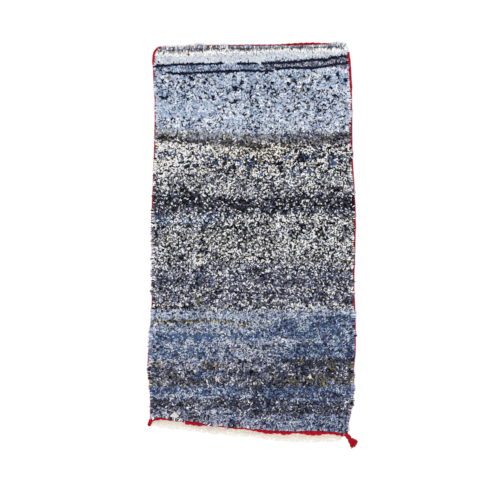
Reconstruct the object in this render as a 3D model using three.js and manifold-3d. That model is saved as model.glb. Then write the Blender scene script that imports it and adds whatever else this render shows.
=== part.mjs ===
// A hand-knotted denim rag rug, about 1.0 m wide and 2.0 m long, lying flat with its pile up.
// Millimetres, +Z up, +Y towards the rug's top end, origin on the floor under the middle of the rug.
import * as THREE from "three";
import { mergeVertices } from "three/addons/utils/BufferGeometryUtils.js";
import Module from "manifold-3d";

// Driving sizes
const GAP = 0.3; // between two pieces that touch
const SEAT = { side: 0.35, top: 0.05, bottom: 1.7 }; // the shag's wall off each yarn's full width
const PILE_HEIGHT = 21; // the middle of the shag, from the floor
const RIM_HEIGHT = 16.5; // where the shag ends at the rug's edges
const LUMP_HEIGHT = 3.2; // how far clumps of pile rise and sink
const KNOT_ROW_PITCH = 58; // two knot rows read as one ridge across the rug
const KNOT_ROW_RELIEF = 1.3;
const EDGE_YARN = 9; // the overcast side edge, outside diameter
const ROW_WIDTH = 13; // the twined row at the bottom end
const ROW_HEIGHT = 8;
const KILIM_THICKNESS = 2.6;
const HEM_THICKNESS = 4.2; // the strip's turned edge
const SIDE_LOCKS = { count: 76, from: 0.02, to: 0.985 }; // rag ends past each side of the rim
const END_LOCKS = { count: 38, from: 0.035, to: 0.965 }; // the same past each end

// The rug's sides: how far each lies from the centre line, down the rug's length
const SIDES = [
  { y: 985, left: 492, right: 481 },
  { y: 870, left: 494, right: 492 },
  { y: 710, left: 487, right: 500 },
  { y: 480, left: 490, right: 502 },
  { y: 230, left: 500, right: 516 },
  { y: 150, left: 504, right: 518 },
  { y: -90, left: 504, right: 514 },
  { y: -220, left: 503, right: 512 },
  { y: -395, left: 510, right: 519 },
  { y: -520, left: 518, right: 520 },
  { y: -610, left: 524, right: 512 },
  { y: -660, left: 516, right: 511 },
  { y: -770, left: 510, right: 508 },
  { y: -830, left: 510, right: 498 },
  { y: -890, left: 510, right: 487 },
  { y: -950, left: 510, right: 478 },
];

// The rug's ends, from left to right: the top edge, the middle of the bottom row, and the hem
const ENDS = [
  { x: -500, top: 992, row: -872, hem: -895 },
  { x: -460, top: 996, row: -861, hem: -903 },
  { x: -360, top: 999, row: -874, hem: -912 },
  { x: -240, top: 1005, row: -892, hem: -927 },
  { x: -110, top: 1006, row: -905, hem: -937 },
  { x: 15, top: 1008, row: -919, hem: -949 },
  { x: 85, top: 1008, row: -927, hem: -960 },
  { x: 190, top: 1010, row: -930, hem: -973 },
  { x: 315, top: 1013, row: -929, hem: -976 },
  { x: 405, top: 1015, row: -934, hem: -972 },
  { x: 455, top: 1012, row: -943, hem: -962 },
  { x: 480, top: 1007, row: -947, hem: -953 },
];

// How each corner of the pile is rounded
const CORNERS = { topLeft: 30, topRight: 22, bottomLeft: 8, bottomRight: 14 };

// The yarn ends at the lower corners: a neck, then a brush of strands
const TASSELS = [
  {
    name: "tassel_right",
    from: [467.3, -946.4],
    to: [491, -970],
    neckWidth: 16,
    neckHeight: 10,
    knot: 11,
    strands: 11,
    strandLength: 47,
    strandWidth: 4.4,
    fan: [-88, -14],
  },
  {
    name: "tassel_left",
    from: [-505.5, -874.7],
    to: [-510, -888],
    neckWidth: 9,
    neckHeight: 8,
    knot: 5.5,
    strands: 6,
    strandLength: 16,
    strandWidth: 3,
    fan: [-156, -74],
  },
];

// Colours of the real materials
const DENIM = new THREE.MeshStandardMaterial({
  color: 0x6d7684,
  roughness: 0.92,
  metalness: 0,
});
const RED_YARN = new THREE.MeshStandardMaterial({
  color: 0xb8122b,
  roughness: 0.85,
  metalness: 0,
});
const CREAM_COTTON = new THREE.MeshStandardMaterial({
  color: 0xefe6d8,
  roughness: 0.9,
  metalness: 0,
});

const wasm = await Module();
wasm.setup();

// A smooth line through one column of a table, level past its ends
function follow(rows, key, column, at) {
  const rising = rows[0][key] < rows[rows.length - 1][key] ? rows : [...rows].reverse();
  if (at <= rising[0][key]) return rising[0][column];
  const last = rising[rising.length - 1];
  if (at >= last[key]) return last[column];
  const i = rising.findIndex((row) => row[key] > at) - 1;
  const slope = (k) => {
    const a = rising[Math.max(k - 1, 0)];
    const b = rising[Math.min(k + 1, rising.length - 1)];
    return (b[column] - a[column]) / (b[key] - a[key]);
  };
  const a = rising[i];
  const b = rising[i + 1];
  const span = b[key] - a[key];
  const t = (at - a[key]) / span;
  const rise = t * t * (3 - 2 * t);
  return (
    a[column] * (1 - rise) +
    b[column] * rise +
    span * slope(i) * t * (1 - t) ** 2 -
    span * slope(i + 1) * t * t * (1 - t)
  );
}

const leftEdge = (y) => -follow(SIDES, "y", "left", y);
const rightEdge = (y) => follow(SIDES, "y", "right", y);
const topEdge = (x) => follow(ENDS, "x", "top", x);
const bottomRow = (x) => follow(ENDS, "x", "row", x);
const hemEdge = (x) => follow(ENDS, "x", "hem", x);

// A number from 0 to 1 that is always the same for the same pair
function chance(a, b) {
  const n = Math.sin(a * 127.1 + b * 311.7) * 43758.5453;
  return n - Math.floor(n);
}

// A rounded corner's inset at a distance from the end
const rounding = (radius, distance) =>
  distance >= radius ? 0 : radius - Math.sqrt(radius ** 2 - (radius - distance) ** 2);

function closed(geometry) {
  geometry.deleteAttribute("normal");
  geometry.deleteAttribute("uv");
  return mergeVertices(geometry, 1e-3);
}

function toSolid(geometry) {
  const whole = closed(geometry);
  return new wasm.Manifold(
    new wasm.Mesh({
      numProp: 3,
      vertProperties: whole.attributes.position.array,
      triVerts: new Uint32Array(whole.index.array),
    }),
  );
}

function toGeometry(solid) {
  const { numVert, numProp, vertProperties, triVerts } = solid.getMesh();
  const position = new Float32Array(numVert * 3);
  for (let i = 0; i < numVert; i++)
    position.set(vertProperties.subarray(i * numProp, i * numProp + 3), i * 3);
  const geometry = new THREE.BufferGeometry();
  geometry.setAttribute("position", new THREE.BufferAttribute(position, 3));
  geometry.setIndex(new THREE.BufferAttribute(triVerts, 1));
  return geometry;
}

function node(name, geometry, material) {
  geometry.computeVertexNormals();
  const mesh = new THREE.Mesh(geometry, material);
  mesh.name = name;
  return mesh;
}

// The shag: a lumpy slab on the rug's outline, closed by its walls and a flat underside
const PILE_COLUMNS = 31;
const PILE_ROWS = 56;
const PILE_SWAY = 0.28; // how far a clump lies off its even place, as a share of a column
const CORNER_STEPS = [0, 0.13, 0.5, 1]; // rows through a rounded corner, as shares of its radius

function pileRows(length) {
  const top = Math.max(CORNERS.topLeft, CORNERS.topRight);
  const bottom = Math.max(CORNERS.bottomLeft, CORNERS.bottomRight);
  const pitch = (length - top - bottom) / PILE_ROWS;
  const between = Array.from({ length: PILE_ROWS - 1 }, (_, i) => top + (i + 1) * pitch);
  const near = CORNER_STEPS.map((share) => share * top);
  const far = CORNER_STEPS.map((share) => length - share * bottom).reverse();
  return [...near, ...between, ...far].map((distance) => distance / length);
}

function pilePoint(across, down) {
  const inset = EDGE_YARN + SEAT.side;
  const place = new THREE.Vector2(THREE.MathUtils.lerp(leftEdge(0), rightEdge(0), across), 0);
  // The ends' lines depend on x and the sides' lines on y, so a few passes settle both
  for (let pass = 0; pass < 4; pass++) {
    const topY = topEdge(place.x) - EDGE_YARN - SEAT.top;
    const bottomY = bottomRow(place.x) + ROW_WIDTH / 2 + SEAT.bottom;
    place.y = THREE.MathUtils.lerp(topY, bottomY, down);
    const fromTop = topY - place.y;
    const fromBottom = place.y - bottomY;
    const roundLeft = rounding(CORNERS.topLeft, fromTop) + rounding(CORNERS.bottomLeft, fromBottom);
    const roundRight = rounding(CORNERS.topRight, fromTop) + rounding(CORNERS.bottomRight, fromBottom);
    const left = leftEdge(place.y) + inset + roundLeft;
    const right = rightEdge(place.y) - inset - roundRight;
    place.x = THREE.MathUtils.lerp(left, right, across);
  }
  return place;
}

function pileSlab() {
  const length = topEdge(0) - bottomRow(0) - EDGE_YARN - ROW_WIDTH / 2;
  const rows = pileRows(length);
  const last = rows.length - 1;
  const points = [];
  rows.forEach((down, j) => {
    for (let i = 0; i <= PILE_COLUMNS; i++) {
      const rim = i === 0 || j === 0 || i === PILE_COLUMNS || j === last;
      const sway = rim ? 0 : (chance(i, j) - 0.5) * 2 * PILE_SWAY;
      const place = pilePoint((i + sway) / PILE_COLUMNS, down);
      const ridge = Math.cos((place.y / KNOT_ROW_PITCH) * 2 * Math.PI) * KNOT_ROW_RELIEF;
      const lump = (chance(j + 5, i + 9) - 0.5) * 2 * LUMP_HEIGHT;
      points.push(place.x, place.y, rim ? RIM_HEIGHT : PILE_HEIGHT + ridge + lump);
    }
  });
  const wide = PILE_COLUMNS + 1;
  const faces = [];
  for (let j = 0; j < last; j++)
    for (let i = 0; i < PILE_COLUMNS; i++) {
      const a = j * wide + i;
      const [b, c, d] = [a + 1, a + wide, a + wide + 1];
      if ((i + j) % 2) faces.push(a, c, b, b, c, d);
      else faces.push(a, c, d, a, d, b);
    }
  const rim = [];
  for (let i = 0; i < PILE_COLUMNS; i++) rim.push(i);
  for (let j = 0; j < last; j++) rim.push(j * wide + PILE_COLUMNS);
  for (let i = PILE_COLUMNS; i > 0; i--) rim.push(last * wide + i);
  for (let j = last; j > 0; j--) rim.push(j * wide);
  const foot = points.length / 3;
  for (const k of rim) points.push(points[k * 3], points[k * 3 + 1], 0);
  const middle = points.length / 3;
  points.push(0, 0, 0);
  rim.forEach((k, n) => {
    const next = (n + 1) % rim.length;
    faces.push(k, rim[next], foot + n, rim[next], foot + next, foot + n);
    faces.push(foot + n, foot + next, middle);
  });
  const geometry = new THREE.BufferGeometry();
  geometry.setAttribute("position", new THREE.Float32BufferAttribute(points, 3));
  geometry.setIndex(faces);
  return toSolid(geometry);
}

// One rag end at the rim: a three-sided tongue, flat side down, that lies outwards over the yarn
const LOCK = { root: 8, tip: 4.6, flatness: 0.5, inside: 7, outside: 11, level: 14 };
const OUTWARDS = { left: Math.PI, right: 0, top: Math.PI / 2, bottom: -Math.PI / 2 };

function rimLock(across, down, outwards, seed) {
  const reach = LOCK.outside * (0.6 + 0.75 * chance(seed, 1));
  const length = LOCK.inside + reach;
  const width = 0.85 + 0.35 * chance(seed, 2);
  const lift = (chance(seed, 3) - 0.35) * 0.1;
  const yaw = (chance(seed, 4) - 0.5) * 0.9;
  const shape = new THREE.CylinderGeometry(LOCK.tip * width, LOCK.root * width, length, 3, 1);
  shape.translate(0, length / 2 - LOCK.inside, 0);
  shape.scale(1, 1, LOCK.flatness);
  shape.rotateX(lift);
  shape.rotateZ(outwards + yaw - Math.PI / 2);
  const place = pilePoint(across, down);
  shape.translate(place.x, place.y, LOCK.level + chance(seed, 5) * 0.8);
  return toSolid(shape);
}

// Where a run's lock number k stands: near its even place
function lockPlace(run, k) {
  const share = (k + 0.2 + 0.6 * chance(k, run.count)) / run.count;
  return THREE.MathUtils.lerp(run.from, run.to, share);
}

function rugField() {
  const locks = [];
  for (let k = 0; k < SIDE_LOCKS.count; k++) {
    const down = lockPlace(SIDE_LOCKS, k);
    locks.push(rimLock(0, down, OUTWARDS.left, k + 100));
    locks.push(rimLock(1, down, OUTWARDS.right, k + 300));
  }
  for (let k = 0; k < END_LOCKS.count; k++) {
    const across = lockPlace(END_LOCKS, k);
    locks.push(rimLock(across, 0, OUTWARDS.top, k + 500));
    locks.push(rimLock(across, 1, OUTWARDS.bottom, k + 700));
  }
  return toGeometry(pileSlab().add(wasm.Manifold.union(locks)));
}

// A cord through level points. Its section is an oval of so many sides, flat on its underside.
// swell(ring, turn) says how far a point of a ring lies from the middle of that underside
function cord(points, { width, height, sides, base, swell }) {
  const position = [];
  const faces = [];
  const flat = Math.cos(Math.PI / sides);
  points.forEach((point, ring) => {
    const before = points[Math.max(ring - 1, 0)];
    const after = points[Math.min(ring + 1, points.length - 1)];
    const along = after.clone().sub(before).normalize();
    for (let k = 0; k < sides; k++) {
      const turn = ((k + 0.5) / sides) * 2 * Math.PI - Math.PI / 2;
      const scale = swell(ring, turn);
      const aside = (Math.cos(turn) * width * scale) / 2;
      const up = ((Math.sin(turn) / flat + 1) / 2) * height * scale;
      position.push(point.x + along.y * aside, point.y - along.x * aside, base + up);
    }
  });
  for (let ring = 0; ring < points.length - 1; ring++)
    for (let k = 0; k < sides; k++) {
      const a = ring * sides + k;
      const b = ring * sides + ((k + 1) % sides);
      faces.push(a, a + sides, b, b, a + sides, b + sides);
    }
  const last = (points.length - 1) * sides;
  for (let k = 1; k < sides - 1; k++) faces.push(0, k, k + 1, last, last + k + 1, last + k);
  const geometry = new THREE.BufferGeometry();
  geometry.setAttribute("position", new THREE.Float32BufferAttribute(position, 3));
  geometry.setIndex(faces);
  return geometry;
}

// The overcast side edges, round the top corners and down to the bottom row
const EDGE_STEPS = 56;
const EDGE_CORNER = [72, 54, 36, 18]; // degrees round a top corner, from the top row down
const EDGE_FEET = { left: -873, right: -940.6 };

function edgeYarn(side) {
  const sign = side === "left" ? -1 : 1;
  const corner = side === "left" ? CORNERS.topLeft : CORNERS.topRight;
  const edge = side === "left" ? leftEdge : rightEdge;
  const radius = corner + EDGE_YARN / 2;
  const cornerX = sign * (Math.abs(edge(960)) - EDGE_YARN / 2 - radius);
  const cornerY = topEdge(cornerX) - EDGE_YARN / 2 - radius;
  const points = EDGE_CORNER.map((degrees) => {
    const turn = THREE.MathUtils.degToRad(degrees);
    const aside = sign * radius * Math.cos(turn);
    return new THREE.Vector2(cornerX + aside, cornerY + radius * Math.sin(turn));
  });
  for (let k = 0; k <= EDGE_STEPS; k++) {
    const y = THREE.MathUtils.lerp(cornerY, EDGE_FEET[side], k / EDGE_STEPS);
    points.push(new THREE.Vector2(edge(y) - (sign * EDGE_YARN) / 2, y));
  }
  const swell = (ring) => 0.84 + 0.16 * chance(ring, sign + 3);
  return cord(points, { width: EDGE_YARN, height: EDGE_YARN, sides: 8, base: 0, swell });
}

// The twined rows at the two ends: two strands that turn round each other
const TWINE_PITCH = 30;
const TWINE_STEPS = 72;

function twinedRow({ edge, from, to, width, base }) {
  const points = [];
  for (let k = 0; k <= TWINE_STEPS; k++) {
    const x = THREE.MathUtils.lerp(from, to, k / TWINE_STEPS);
    points.push(new THREE.Vector2(x, edge(x)));
  }
  const twist = ((to - from) / TWINE_STEPS / TWINE_PITCH) * Math.PI; // from one ring to the next
  const swell = (ring, turn) => 0.86 + 0.14 * Math.cos(2 * (turn - ring * twist));
  return cord(points, { width, height: ROW_HEIGHT, sides: 8, base, swell });
}

// The flat-woven strip below the bottom row, ribbed along its warps, with a turned hem
const KILIM = { left: -489, right: 463, warps: 60, rib: 0.3, leftCorner: 14, rightCorner: 9 };
const KILIM_STEPS = [0, 0.3, 0.62, 0.86, 1]; // rows from the pile to the hem, as shares of its depth

function kilimEnd() {
  const deep = KILIM_STEPS.length - 1;
  const geometry = new THREE.BoxGeometry(1, 1, 1, KILIM.warps, deep, 1);
  const place = geometry.attributes.position;
  for (let i = 0; i < place.count; i++) {
    const across = place.getX(i) + 0.5;
    const share = KILIM_STEPS[Math.round((0.5 - place.getY(i)) * deep)];
    const x = THREE.MathUtils.lerp(KILIM.left, KILIM.right, across);
    const inner = bottomRow(x) + ROW_WIDTH / 2;
    const leftRise = rounding(KILIM.leftCorner, x - KILIM.left);
    const rightRise = rounding(KILIM.rightCorner, KILIM.right - x);
    const outer = hemEdge(x) + leftRise + rightRise;
    const rib = Math.round(across * KILIM.warps) % 2 ? KILIM.rib : -KILIM.rib;
    const hem = share > 0.7 && share < 1 ? HEM_THICKNESS - KILIM_THICKNESS : 0;
    const underRow = share < 0.5;
    const top = KILIM_THICKNESS + (underRow ? 0 : rib + hem);
    place.setXYZ(i, x, THREE.MathUtils.lerp(inner, outer, share), place.getZ(i) > 0 ? top : 0);
  }
  return closed(geometry);
}

// A corner tassel: a neck of two plies, a knot, and a brush of strands that lie on the floor
const NECK_RINGS = [0, 0.35, 0.7, 1];
const STRAND_RINGS = [0.05, 0.4, 0.7, 1];
const STRAND_TIP = 0.7; // a strand's tip is this share of its full width

function tassel(t) {
  const from = new THREE.Vector2(...t.from);
  const to = new THREE.Vector2(...t.to);
  const neckLine = NECK_RINGS.map((share) => from.clone().lerp(to, share));
  const plies = (ring, turn) => 0.84 + 0.16 * Math.cos(2 * (turn - 0.5 - ring * 0.25));
  const neck = { width: t.neckWidth, height: t.neckHeight, sides: 10, base: 0, swell: plies };
  const knot = new THREE.SphereGeometry(t.knot, 10, 7);
  knot.rotateX(Math.PI / 2);
  knot.scale(1, 1, t.neckHeight / 2 / t.knot);
  knot.translate(to.x, to.y, t.neckHeight / 2);
  const pieces = [toSolid(cord(neckLine, neck)), toSolid(knot)];
  const taper = (ring) => (ring === STRAND_RINGS.length - 1 ? STRAND_TIP : 1);
  const yarn = { width: t.strandWidth, height: t.strandWidth, sides: 4, base: 0, swell: taper };
  for (let k = 0; k < t.strands; k++) {
    const share = k / (t.strands - 1);
    const angle = THREE.MathUtils.degToRad(THREE.MathUtils.lerp(t.fan[0], t.fan[1], share));
    const bend = (chance(k, 53) - 0.5) * 0.1;
    const long = t.strandLength * (0.84 + 0.16 * chance(k, 59));
    const line = STRAND_RINGS.map((far) => {
      const turn = angle + bend * far;
      return new THREE.Vector2(Math.cos(turn), Math.sin(turn)).multiplyScalar(far * long).add(to);
    });
    pieces.push(toSolid(cord(line, yarn)));
  }
  return toGeometry(wasm.Manifold.union(pieces));
}

const topMiddle = (x) => topEdge(x) - EDGE_YARN / 2;
const topRow = { edge: topMiddle, from: -448, to: 440, width: EDGE_YARN, base: 0 };
const onKilim = KILIM_THICKNESS + GAP + 0.1;
const lowRow = { edge: bottomRow, from: -497.5, to: 462, width: ROW_WIDTH, base: onKilim };

const rug = new THREE.Group();
rug.add(node("rug_field", rugField(), DENIM));
rug.add(node("selvedge_left", edgeYarn("left"), RED_YARN));
rug.add(node("selvedge_right", edgeYarn("right"), RED_YARN));
rug.add(node("end_row_top", twinedRow(topRow), RED_YARN));
rug.add(node("end_row_bottom", twinedRow(lowRow), RED_YARN));
rug.add(node("kilim_end", kilimEnd(), CREAM_COTTON));
for (const t of TASSELS) rug.add(node(t.name, tassel(t), RED_YARN));

// The origin goes under the middle of the rug's box
const box = new THREE.Box3().setFromObject(rug);
const middle = box.getCenter(new THREE.Vector3());
rug.position.set(-middle.x, -middle.y, -box.min.z);

export default rug;
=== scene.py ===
import math

import bmesh
import bpy
import numpy as np
from mathutils.bvhtree import BVHTree
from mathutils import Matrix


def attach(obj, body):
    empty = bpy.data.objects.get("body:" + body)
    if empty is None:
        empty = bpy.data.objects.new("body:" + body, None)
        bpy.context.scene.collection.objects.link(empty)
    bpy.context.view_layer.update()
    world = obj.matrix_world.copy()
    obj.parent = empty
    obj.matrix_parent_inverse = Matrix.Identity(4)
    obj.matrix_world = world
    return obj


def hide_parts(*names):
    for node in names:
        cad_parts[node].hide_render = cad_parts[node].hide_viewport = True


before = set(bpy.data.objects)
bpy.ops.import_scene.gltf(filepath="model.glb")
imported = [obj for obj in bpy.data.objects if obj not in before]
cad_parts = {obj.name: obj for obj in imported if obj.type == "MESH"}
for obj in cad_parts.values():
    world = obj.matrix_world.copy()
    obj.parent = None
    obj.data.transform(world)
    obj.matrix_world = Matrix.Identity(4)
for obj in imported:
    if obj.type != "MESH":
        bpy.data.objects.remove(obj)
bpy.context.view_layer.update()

# Camera
# Straight above the rug, with the rug's top end up in the picture.
LENS = 100
SENSOR = 36
FLOOR_ACROSS = 2.5  # metres of floor in the picture
PICTURE_MIDDLE = (-0.0141, -0.0222)  # the place on the floor under the camera
MEASURED_AT = 0.01  # how high over the floor that width is measured, half way up the pile
overhead = bpy.data.cameras.new("overhead")
overhead.lens = LENS
overhead.sensor_width = SENSOR
camera = bpy.data.objects.new("overhead_camera", overhead)
camera.location = (*PICTURE_MIDDLE, FLOOR_ACROSS * LENS / SENSOR + MEASURED_AT)
bpy.context.scene.collection.objects.link(camera)
bpy.context.scene.camera = camera

# Studio
# A plain white floor, a white room all round and one wide soft lamp high above.
FLOOR_REACH = 15  # metres from the middle of the floor to each side
bpy.context.scene.view_settings.view_transform = "Standard"


def new_material(name, roughness, gloss=0.5):
    material = bpy.data.materials.new(name)
    material.use_nodes = True
    shader = material.node_tree.nodes["Principled BSDF"]
    shader.inputs["Roughness"].default_value = roughness
    shader.inputs["Specular IOR Level"].default_value = gloss
    return material, material.node_tree, shader


def add_node(tree, kind, inputs=(), **settings):
    made = tree.nodes.new("ShaderNode" + kind)
    for name, value in settings.items():
        setattr(made, name, value)
    for name, value in dict(inputs).items():
        if hasattr(value, "is_output"):
            tree.links.new(value, made.inputs[name])
        else:
            made.inputs[name].default_value = value
    return made


def blend_colours(tree, share, one, other, how="MIX"):
    # Sockets 6 and 7 of a Mix node are its two colours, and output 2 is the colour that results
    made = add_node(tree, "Mix", data_type="RGBA", blend_type=how)
    for socket, value in ((0, share), (6, one), (7, other)):
        if hasattr(value, "is_output"):
            tree.links.new(value, made.inputs[socket])
        else:
            made.inputs[socket].default_value = value
    return made.outputs[2]


def spread_range(tree, value, low, high, to_low=0.0, to_high=1.0):
    ranges = {"From Min": low, "From Max": high, "To Min": to_low, "To Max": to_high}
    return add_node(tree, "MapRange", {"Value": value, **ranges}).outputs["Result"]


def add_relief(tree, shader, height, strength, distance):
    """Bumps in a surface: how strong they are, and how high in metres."""
    sizes = {"Strength": strength, "Distance": distance, "Height": height}
    bump = add_node(tree, "Bump", sizes)
    tree.links.new(bump.outputs["Normal"], shader.inputs["Normal"])


def mesh_object(name, mesh, material):
    made = bpy.data.objects.new(name, mesh)
    made.data.materials.append(material)
    bpy.context.scene.collection.objects.link(made)
    return made


def finish_mesh(bm, name):
    mesh = bpy.data.meshes.new(name)
    bm.to_mesh(mesh)
    bm.free()
    return mesh


floor_bm = bmesh.new()
bmesh.ops.create_grid(floor_bm, x_segments=4, y_segments=4, size=FLOOR_REACH)
floor_paint, floor_tree, floor_shader = new_material("white_floor", 0.9, 0.1)
floor_shader.inputs["Base Color"].default_value = (0.9, 0.9, 0.9, 1)
floor_grain = add_node(floor_tree, "TexNoise", {"Scale": 40.0, "Detail": 3.0})
add_relief(floor_tree, floor_shader, floor_grain.outputs["Fac"], 0.05, 0.001)
floor = mesh_object("studio_floor", finish_mesh(floor_bm, "studio_floor"), floor_paint)

LAMP_TILT = (math.radians(24), math.radians(-14), 0)
lamp = bpy.data.lights.new("soft_lamp", "SUN")
lamp.energy = 1.3
lamp.angle = math.radians(35)
lamp_stand = bpy.data.objects.new("soft_lamp", lamp)
lamp_stand.rotation_euler = LAMP_TILT
lamp_stand.location = (0, 0, 4)
bpy.context.scene.collection.objects.link(lamp_stand)
room = bpy.data.worlds.new("white_room")
room.use_nodes = True
room.node_tree.nodes["Background"].inputs["Color"].default_value = (0.985, 0.99, 1.0, 1)
room.node_tree.nodes["Background"].inputs["Strength"].default_value = 1.0
bpy.context.scene.world = room

# Ground weave
# A coarse cotton cloth, the whole size of the pile, whose wefts pack each row of knots
# against the last. It lies flat on the floor, and the side edges are overcast round it.
MM = 0.001
GROUND_THICKNESS = 5.5 * MM
GROUND_COLUMNS = 60
GROUND_ROWS = 112
GROUND_INSET = 1.2 * MM  # from the foot of the pile's solid
GROUND_LIFT = 0.5 * MM  # between the floor and the weave
WEFT_PITCH = 9 * MM
WEFT_RISE = 0.35 * MM
FOOT_HEIGHT = 0.1 * MM  # the solid's corners below this are its foot


def mesh_points(mesh):
    points = np.empty(len(mesh.vertices) * 3)
    mesh.vertices.foreach_get("co", points)
    return points.reshape(-1, 3)


def foot_outline(node):
    """The line round the foot of the pile's solid, split at its corners into four sides."""
    points = mesh_points(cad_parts[node].data)
    foot = np.unique(np.round(points[points[:, 2] < FOOT_HEIGHT, :2], 5), axis=0)
    foot = foot[np.hypot(foot[:, 0], foot[:, 1]) > 0.1]  # without the underside's middle point
    foot = foot[np.argsort(np.arctan2(foot[:, 1], foot[:, 0]))]

    def corner(across, along):
        return int(np.argmax(foot @ (0.3 * across, along)))

    low_left, low_right = corner(-1, -1), corner(1, -1)
    high_right, high_left = corner(1, 1), corner(-1, 1)
    left = np.vstack([foot[high_left:], foot[: low_left + 1]])[::-1]
    bottom = foot[low_left : low_right + 1]
    right = foot[low_right : high_right + 1]
    top = foot[high_right : high_left + 1][::-1]
    return left, right, top, bottom


LEFT_SIDE, RIGHT_SIDE, TOP_END, BOTTOM_END = foot_outline("rug_field")


def left_at(y):
    return np.interp(y, LEFT_SIDE[:, 1], LEFT_SIDE[:, 0])


def right_at(y):
    return np.interp(y, RIGHT_SIDE[:, 1], RIGHT_SIDE[:, 0])


def top_at(x):
    return np.interp(x, TOP_END[:, 0], TOP_END[:, 1])


def bottom_at(x):
    return np.interp(x, BOTTOM_END[:, 0], BOTTOM_END[:, 1])


def on_rug(across, down, inset=0.0):
    """A place on the rug, from its share of the way across and its share of the way down."""
    x = -0.5 + across
    for _ in range(5):
        y = (top_at(x) - inset) * (1 - down) + (bottom_at(x) + inset) * down
        x = (left_at(y) + inset) * (1 - across) + (right_at(y) - inset) * across
    return x, y


ground_bm = bmesh.new()
bmesh.ops.create_grid(
    ground_bm, x_segments=GROUND_COLUMNS, y_segments=GROUND_ROWS, size=0.5
)
for vertex in ground_bm.verts:
    x, y = on_rug(vertex.co.x + 0.5, 0.5 - vertex.co.y, GROUND_INSET)
    ripple = WEFT_RISE * math.sin(2 * math.pi * y / (2 * WEFT_PITCH))
    vertex.co = (x, y, GROUND_THICKNESS + ripple)
ground_top = ground_bm.faces[:]
bmesh.ops.solidify(ground_bm, geom=ground_top, thickness=GROUND_THICKNESS - GROUND_LIFT)
bmesh.ops.recalc_face_normals(ground_bm, faces=ground_bm.faces)
for vertex in ground_bm.verts:
    vertex.co.z = max(vertex.co.z, 0.0)
ground_yarn, ground_tree, ground_shader = new_material("ground_cotton_painted_shade", 0.95)
ground_place = add_node(ground_tree, "TexCoord").outputs["Object"]
ground_wefts = add_node(
    ground_tree,
    "TexWave",
    {"Vector": ground_place, "Scale": 34.0, "Distortion": 1.5, "Detail": 2.0},
    bands_direction="Y",
)
# Painted shade: the ground weave is coloured near black for the shade that falls between the rag
# ends over it
ground_painted_shade = blend_colours(
    ground_tree, ground_wefts.outputs["Fac"], (0.03, 0.032, 0.045, 1), (0.1, 0.105, 0.13, 1)
)
ground_tree.links.new(ground_painted_shade, ground_shader.inputs["Base Color"])
add_relief(ground_tree, ground_shader, ground_wefts.outputs["Fac"], 0.6, 0.001)
ground = mesh_object("ground_weave", finish_mesh(ground_bm, "ground_weave"), ground_yarn)
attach(ground, "root")
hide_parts("rug_field")

# Rag pile
# Cut strips of denim and cotton, knotted in rows with their ends up. Each end is a folded
# rag, 4 to 8 mm wide, that leans from its knot and hides the ground weave.
KNOT_ROWS = 104
KNOT_COLUMNS = 92
PACKED_SHARE = 0.055  # at the top end, where the rows are packed twice as close
ENDS_A_KNOT = 5
KNOT_INSET = 3 * MM  # from the foot of the pile to its outermost knots
KNOT_STRAY = (0.4, 0.3)  # how far a knot strays, as shares of a column and of a row
ROOT_STRAY = (5, 6)  # how far an end rises from its knot, in millimetres
END_FAN = 38  # degrees from one end of a knot to the next
END_SCATTER = 20  # degrees, and so are the next two
KNOT_SCATTER = 30
COMBED_SCATTER = 14
TURNED_SHARE = 0.12  # the share of the ends that lean up the rug
SUNK = 3.5  # how far an end may sink between its neighbours, in millimetres
RING_PLACES = np.array([0, 0.38, 0.72, 1])  # its root, two bends and cut, along a rag end
RAG_REACH = (8.5 * MM, 16 * MM)  # how far an end lies from its knot, seen from above
RAG_WIDTH = (4.7 * MM, 7.9 * MM)
# Down the rug, how wide its rags are cut and how far their ends are combed one way
CUT_WIDTH = [
    (-950, 0.75), (-330, 0.75), (-250, 0.85), (0, 0.95), (520, 0.95), (590, 1.06), (900, 1.02),
    (925, 0.9), (1015, 0.9),
]
COMBED = [
    (-950, 0.1), (560, 0.0), (620, 0.15), (860, 0.25), (905, 0.45), (925, 0.9), (1015, 0.8),
]
RAG_FOLD = (1.6 * MM, 3.0 * MM)  # how high a rag's fold stands
ROOT_HEIGHT = 4 * MM
RAG_CURL = 2.4 * MM  # how far an end curls aside
RAG_ROLL = 0.42  # how far it rolls over, in radians
RAG_SLANT = 1.5 * MM  # how far its cut is from square
TONE_SPREAD = 0.27
SEEN_SHARE = 0.62  # how far along it an end is mostly seen
# The soft fold down the middle of the rug: the places that it passes, in millimetres
CREASE = [(-950, 8), (-620, 16), (0, 33), (500, 36), (960, 30)]
CREASE_WIDTH = 8 * MM
CREASE_DEPTH = 5 * MM

# Each kind of rag from dark to light: its deep dye, its faded dye and its weft
RAG_KINDS = {
    "black": ("#060506", "#131115", "#1d1b20"),
    "navy": ("#080b1b", "#191f38", "#282e48"),
    "red": ("#6a0716", "#a8122b", "#c02a44"),
    "brown": ("#2b2321", "#574a44", "#7a6d66"),
    "indigo": ("#232c4e", "#3d4b75", "#5f6e9b"),
    "cobalt": ("#294676", "#486b9c", "#86a1c3"),
    "charcoal": ("#27272e", "#47454e", "#5d5b65"),
    "denim": ("#405678", "#6783aa", "#a5b7d0"),
    "khaki": ("#4c4836", "#7e785f", "#a39d84"),
    "slate": ("#505368", "#7c7f96", "#a7a9bc"),
    "grey": ("#78777d", "#a8a6ab", "#c9c7ca"),
    "sky": ("#8092b0", "#a7b7d0", "#d0daea"),
    "lilac": ("#8386a4", "#b1b5d1", "#dadced"),
    "straw": ("#aaa283", "#d9d0b2", "#efe8d3"),
    "pearl": ("#b6b9c0", "#d0d2d9", "#e6e7ec"),
    "wash": ("#aeb9ca", "#d3dbe6", "#ecf1f7"),
    "ecru": ("#d3cec3", "#ece8df", "#f7f5f0"),
    "chalk": ("#d8d7d7", "#f5f4f2", "#ffffff"),
}

KIND_NAMES = list(RAG_KINDS)

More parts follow.
